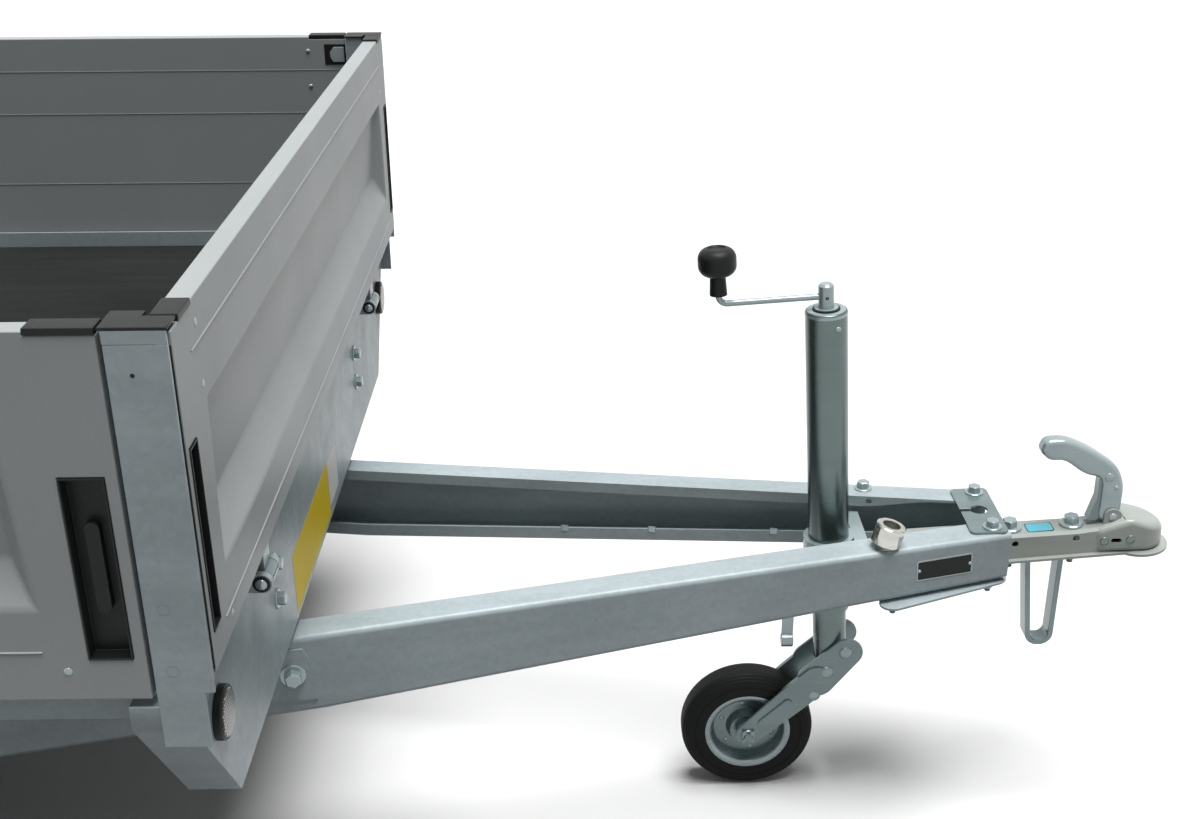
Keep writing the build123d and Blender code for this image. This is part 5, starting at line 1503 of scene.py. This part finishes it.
@dataclass
class JockeyLeg(Assembly):
    """Small parts of the jockey leg, its fork and its wheel."""

    lean: float = math.radians(3.9)
    datum: Point = (1.3815, 0.0, 0.424)
    tube_r: float = 0.030
    tube_up: float = 0.383
    rivets_down: float = 0.022
    cheek_out: float = 0.031
    rivets: Outline = ((1.4135, 0.2545), (1.3860, 0.2190), (1.3680, 0.1770))
    collar: Outline = ((0.0062, 0.0), (0.0100, 0.0), (0.0108, 0.0016), (0.0100, 0.0034),
                       (0.0072, 0.0034), (0.0062, 0.0))
    collar_out: float = 0.0342
    axle: tuple[float, float] = (1.268, 0.104)
    wheel_r: float = 0.104
    tyre_half: float = 0.025
    rim_r: float = 0.065
    shoulder_r: float = 0.016
    groove: float = 0.0009
    groove_degrees: tuple[int, ...] = (12, 18, 30, 36, 48, 54)
    # Rolled lip of the rim: radius beyond the rim, distance from the wheel's middle
    rim_lip: Outline = ((-0.0075, 0.0200), (-0.002, 0.0218), (0.0012, 0.0226), (0.0022, 0.0249),
                        (-0.0010, 0.0252), (-0.0050, 0.0240), (-0.0078, 0.0215),
                        (-0.0075, 0.0200))
    rim_rivets: int = 6
    rim_rivet_r: float = 0.0425
    strap: Outline = ((-0.009, -0.012), (0.009, -0.012), (0.009, 0.030), (0.007, 0.095),
                      (-0.009, 0.095))
    strap_at: Point = (1.326, 0.002, 0.268)
    barrel_at: Point = (1.317, 0, 0.260)

    def build(self) -> None:
        """Make and fit every piece."""
        self._tube_top()
        self._fork()
        self._wheel()
        self._catch()

    def _on_tube(self, up: float) -> Matrix:
        """Return the frame of the leg's axis at a height along it."""
        return (Matrix.Translation(self.datum) @ Matrix.Rotation(-self.lean, 4, "Y")
                @ shifted(0, 0, up))

    def _tube_top(self) -> None:
        """Roll a bright lip round the tube's top and rivet its side."""
        r = self.tube_r
        lip = Bench.turned("tube_top_lip", [
            (r - 0.010, 0.0002), (r - 0.003, 0.0004), (r - 0.0005, -0.0016), (r + 0.0004, -0.004),
            (r + 0.0004, -0.007), (r - 0.0002, -0.0072), (r - 0.010, -0.0072),
            (r - 0.010, 0.0002)], 64, 50)
        self.add(Bench.place(lip, self._on_tube(self.tube_up)), "chassis", "zinc_plated")
        ring = Bench.turned("tube_top_washer", [(0.0172, 0), (0.0195, 0), (0.0195, 0.0016),
                                                (0.0172, 0.0022), (0.0172, 0)], 48, 50)
        self.add(Bench.place(ring, self._on_tube(self.tube_up + 0.0003)), "chassis", "black_nylon")
        height = self._on_tube(self.tube_up - self.rivets_down)
        spots = [height @ rotated(turn) @ shifted(0, -r, 0) @ UPRIGHT for turn in (25, 205)]
        self.set_out("tube_rivets", Fasteners.rivet(0.0045, 0.0022), spots)

    def _fork(self) -> None:
        """Rivet the fork's cheeks and clip the wheel pin's ends."""
        spots = [spot for x, z in self.rivets for spot in Bench.flanks(x, self.cheek_out, z)]
        self.set_out("fork_rivets", Fasteners.rivet(0.0105, 0.0044, 28), spots, body="jockey_fork")
        spots = Bench.flanks(self.axle[0], self.collar_out, self.axle[1], 30)
        self.set_out("wheel_pin_collars", Bench.turned("collar", self.collar, 32, 40), spots,
                     body="jockey_fork")
        teeth = [spot @ rotated(turn) @ shifted(0, 0.0085, 0.0045)
                 for spot in spots for turn in (15, 105, 195, 285)]
        self.set_out("wheel_pin_clips", Bench.block("tooth", (0.0045, 0.0075, 0.0030), 0.0006),
                     teeth, body="jockey_fork")

    def _wheel(self) -> None:
        """Turn the ribbed tyre and rivet the rim's two dishes."""
        place = shifted(self.axle[0], 0, self.axle[1]) @ ON_Y
        rim, half = self.rim_r, self.tyre_half
        arc_r, arc_h = self.wheel_r - self.shoulder_r, half - self.shoulder_r
        profile = [(rim, half - 0.0012), (rim + 0.003, half - 0.0002), (rim + 0.010, half),
                   (arc_r - 0.0060, half), (arc_r - 0.0056, half - 0.0007),
                   (arc_r - 0.0036, half - 0.0007), (arc_r - 0.0032, half)]
        for degrees in range(0, 91, 6):
            angle = math.radians(degrees)
            depth = self.shoulder_r - (self.groove if degrees in self.groove_degrees else 0.0)
            profile.append((arc_r + depth * math.sin(angle), arc_h + depth * math.cos(angle)))
        profile += [(r, -h) for r, h in reversed(profile)] + [profile[0]]
        tyre = Bench.turned("jockey_tyre_ribbed", profile, 72, 24)
        self.add(Bench.place(tyre, place), "jockey_wheel", "tyre_rubber", ["jockey_tyre"])
        step = 360 // self.rim_rivets
        spots = [place @ rotated(step * k + 20) @ shifted(self.rim_rivet_r, 0, 0)
                 @ Matrix.Rotation(math.pi * (side < 0), 4, "Y") @ shifted(0, 0, 0.006)
                 for k in range(self.rim_rivets) for side in (1, -1)]
        self.set_out("jockey_rim_rivets", Fasteners.rivet(0.0038, 0.0016), spots,
                     body="jockey_wheel")
        ring = Bench.turned("ring", [(rim + out, h) for out, h in self.rim_lip], 72, 60)
        spots = [place, place @ Matrix.Rotation(math.pi, 4, "X")]
        self.set_out("jockey_rim_lips", ring, spots, body="jockey_wheel")

    def _catch(self) -> None:
        """Hang the wheel catch behind the leg."""
        strap = Bench.plate("strap", self.strap, 0.004, 0.0008)
        Bench.place(strap, shifted(*self.strap_at) @ UPRIGHT)
        barrel = Bench.turned("barrel", [(0, 0), (0.0100, 0), (0.0110, 0.001), (0.0110, 0.017),
                                         (0.0100, 0.018), (0, 0.018)], 28, 40)
        Bench.place(barrel, Bench.facing(self.barrel_at, FORWARD))
        self.add(Bench.joined("jockey_catch", [strap, barrel]), "chassis", "zinc_plated")


@dataclass
class RunningGear(Assembly):
    """Treaded tyres, wheel bolts and valves."""

    fasteners: Fasteners
    axle: tuple[float, float] = (-0.718, 0.289)
    wheel_y: float = 0.630
    disc_out: float = 0.034
    bolt_circle: float = 0.056
    bolts: int = 5
    steps: int = 96
    # Outer half of the tyre's section: radius, distance from its middle
    section: Outline = (
        (0.166, 0.058), (0.180, 0.058), (0.190, 0.067), (0.196, 0.072), (0.205, 0.0740),
        (0.207, 0.0756), (0.211, 0.0758), (0.213, 0.0752), (0.234, 0.078), (0.250, 0.0762),
        (0.265, 0.072), (0.279, 0.063), (0.286, 0.050), (0.2880, 0.0375), (0.2810, 0.0365),
        (0.2810, 0.0295), (0.2888, 0.0285), (0.289, 0.0135), (0.2815, 0.0125), (0.2815, 0.0065),
        (0.289, 0.0055))
    # Shoulder slots: least radius, least distance from the middle, one in so many steps
    slot_r: float = 0.268
    slot_out: float = 0.042
    slot_every: int = 4
    valve: Outline = ((0.0058, 0), (0.0058, 0.010), (0.0040, 0.014), (0.0040, 0.026),
                      (0.0046, 0.027), (0.0046, 0.034), (0.0, 0.035))
    valve_turn: float = 0.4
    valve_at: Point = (0.1385, 0, 0.026)

    def build(self) -> None:
        """Dress both wheels."""
        for side, name in ((1, "left"), (-1, "right")):
            body = f"road_wheel_{name}"
            place = (shifted(self.axle[0], side * self.wheel_y, self.axle[1])
                     @ rotated(-90 * side, "X"))
            self.add(Bench.place(self._tyre(f"tyre_{name}_treaded"), place), body, "tyre_rubber",
                     [f"wheel_tyre_{name}"])
            spots = [place @ Matrix.Rotation(math.tau * k / self.bolts, 4, "Z")
                     @ shifted(self.bolt_circle, 0, self.disc_out) for k in range(self.bolts)]
            self.set_out(f"wheel_bolts_{name}", self.fasteners.bolt(1.1), spots, body=body)
            valve = Bench.turned(f"valve_{name}", self.valve, 20, 40)
            Bench.place(valve, place @ Matrix.Rotation(self.valve_turn, 4, "Z")
                        @ shifted(*self.valve_at))
            self.add(valve, body, "black_nylon")

    def _tyre(self, name: str) -> Piece:
        """Turn one tyre and cut its shoulders into blocks.

        Args:
            name: The tyre's name.

        Returns:
            The tyre, lying on the origin.
        """
        profile = [*self.section, *[(r, -h) for r, h in reversed(self.section)], self.section[0]]
        tyre = Bench.turned(name, profile, self.steps)
        Bench.pick(tyre, self._in_slot)
        bpy.ops.mesh.inset(thickness=0.0025, depth=-0.006)
        bpy.ops.object.mode_set(mode="OBJECT")
        Bench.shade(tyre, 28)
        return tyre

    def _in_slot(self, face: bpy.types.MeshPolygon) -> bool:
        """Say whether a tread face lies in one of the shoulder slots."""
        x, y, out = face.center
        turn = int((math.atan2(y, x) % math.tau) / math.tau * self.steps)
        return (math.hypot(x, y) > self.slot_r and abs(out) > self.slot_out
                and turn % self.slot_every == 0)


@dataclass
class Rear(Assembly):
    """Lamp clusters and rivets on the tail, and the seals under both end boards."""

    plate_x: float = -1.860
    lamp_y: float = 0.565
    lamp_z: float = 0.570
    size: tuple[float, float] = (0.140, 0.090)
    depth: float = 0.030
    rivet_y: float = 0.350
    rivet_z: tuple[float, float] = (0.607, 0.556)
    seal_x: tuple[float, float] = (-1.860, 0.628)
    seal_half: float = 0.690
    seal_z: tuple[float, float] = (0.699, 0.717)
    seal_reach: float = 0.0025

    def build(self) -> None:
        """Make and fit every piece."""
        width, height = self.size
        housing = Bench.plate("housing", rounded(width, height, 0.008), self.depth - 0.002, 0.001)
        spots = [Bench.facing((self.plate_x + self.depth, side * self.lamp_y, self.lamp_z),
                              (-1, 0, 0)) for side in SIDES]
        self.set_out("rear_lamp_housings", housing, spots, "black_nylon",
                     stands_for=["rear_lamps"])
        for name, finish, share, at in (("tail", "lens_red", 0.60, 0.18),
                                        ("turn", "lens_amber", 0.32, -0.31)):
            lens = Bench.plate("lens", rounded(width * share, height - 0.008, 0.005), 0.008,
                               0.002, 3)
            places = [spot @ shifted(-side * at * width, 0, self.depth - 0.0075)
                      for spot, side in zip(spots, SIDES)]
            self.set_out(f"rear_{name}_lenses", lens, places, finish)
        spots = [Bench.facing((self.plate_x, side * self.rivet_y, z), (-1, 0, 0), 9 * side)
                 for side in SIDES for z in self.rivet_z]
        self.set_out("rear_plate_rivets", Fasteners.rivet(0.0095, 0.0022, 28), spots)
        low, high = self.seal_z
        seals = [Bench.box("seal", (x - self.seal_reach, -self.seal_half, low),
                           (x + self.seal_reach, self.seal_half, high), 0.0008)
                 for x in self.seal_x]
        self.add(Bench.joined("end_board_seals", seals), "chassis", "black_nylon")


class Studio:
    """Pale floor, soft light from above and the photograph's view."""

    FLOOR_SIZE = 80.0
    FLOOR_SEEN = 0.90
    FLOOR_BOUNCE = 0.14
    SKY_LIGHT = 0.14
    SUN = 4.0
    SUN_ANGLE = 36.0
    SUN_FROM = (0.10, -0.10, 1.0)
    EYE = (1.0211, -1.9298, 1.5115)
    TURN = (0.4326, -0.0082, -0.0083)
    SENSOR = 36.0
    LENS = 43.85
    SHIFT = (0.0016, 0.0183)

    def build(self) -> None:
        """Set the stage, the light and the camera."""
        bpy.context.scene.view_settings.view_transform = "Standard"
        self._floor()
        self._world()
        self._sun()
        self._camera()

    @staticmethod
    def _seen(t: Tree) -> Socket:
        """Return 1 for rays of the view, of reflections and through clear parts."""
        path = t.add("ShaderNodeLightPath")
        first = t.add("ShaderNodeMath", operation="MAXIMUM")
        both = t.add("ShaderNodeMath", operation="MAXIMUM")
        t.link(path.outputs["Is Camera Ray"], first.inputs[0])
        t.link(path.outputs["Is Glossy Ray"], first.inputs[1])
        t.link(first.outputs[0], both.inputs[0])
        t.link(path.outputs["Is Transmission Ray"], both.inputs[1])
        return both.outputs[0]

    def _floor(self) -> None:
        """Lay the pale floor, which keeps the trailer's shadow."""
        Bench.clear()
        bpy.ops.mesh.primitive_plane_add(size=self.FLOOR_SIZE, location=(0, 0, 0))
        floor = bpy.context.object
        floor.name = "studio_floor"
        material = bpy.data.materials.new("studio_floor")
        material.use_nodes = True
        t = Tree(material.node_tree)
        shader = t.tree.nodes["Principled BSDF"]
        shader.inputs["Roughness"].default_value = 0.9
        shader.inputs["Specular IOR Level"].default_value = 0.0
        shade = t.blend(self._seen(t), (self.FLOOR_BOUNCE,) * 3, (self.FLOOR_SEEN,) * 3)
        t.link(shade, shader.inputs["Base Color"])
        floor.data.materials.append(material)

    def _world(self) -> None:
        """Light softly all round, and show white where the view or a reflection leaves."""
        world = bpy.data.worlds.new("studio")
        bpy.context.scene.world = world
        world.use_nodes = True
        t = Tree(world.node_tree)
        back = t.tree.nodes["Background"]
        back.inputs["Color"].default_value = (1.0, 1.0, 1.0, 1.0)
        t.link(t.spread(self._seen(t), self.SKY_LIGHT, 1.0), back.inputs["Strength"])

    def _sun(self) -> None:
        """Hang one broad soft light overhead."""
        light = bpy.data.lights.new("overhead", "SUN")
        light.energy = self.SUN
        light.angle = math.radians(self.SUN_ANGLE)
        lamp = bpy.data.objects.new("overhead", light)
        lamp.rotation_euler = Vector(self.SUN_FROM).to_track_quat("Z", "Y").to_euler()
        lamp.location = (0.0, 0.0, 4.0)
        bpy.context.collection.objects.link(lamp)

    def _camera(self) -> None:
        """Stand the camera where the photograph was taken from."""
        turn = Vector(self.TURN)
        tilt = Matrix.Rotation(turn.length, 3, turn.normalized())
        view = tilt @ Matrix(((1, 0, 0), (0, 0, -1), (0, 1, 0)))
        pose = Matrix((view[0], -view[1], -view[2])).transposed().to_4x4()
        pose.translation = Vector(self.EYE)
        data = bpy.data.cameras.new("photo_view")
        data.sensor_width = self.SENSOR
        data.sensor_fit = "HORIZONTAL"
        data.lens = self.LENS
        data.shift_x, data.shift_y = self.SHIFT
        data.clip_start = 0.02
        camera = bpy.data.objects.new("photo_view", data)
        camera.matrix_world = pose
        bpy.context.collection.objects.link(camera)
        bpy.context.scene.camera = camera


def main() -> None:
    """Build every sub-assembly in order and report it."""
    logging.basicConfig(level=logging.INFO)
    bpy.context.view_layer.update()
    finishes = Finishes(EffectGroups())
    fasteners = Fasteners()
    Studio().build()
    for assembly in (Solids(finishes), Boards(finishes), FrontFrame(finishes, fasteners),
                     Drawbar(finishes, fasteners), Coupling(finishes, fasteners),
                     JockeyLeg(finishes), RunningGear(finishes, fasteners), Rear(finishes)):
        assembly.build()


if __name__ == "__main__":
    main()
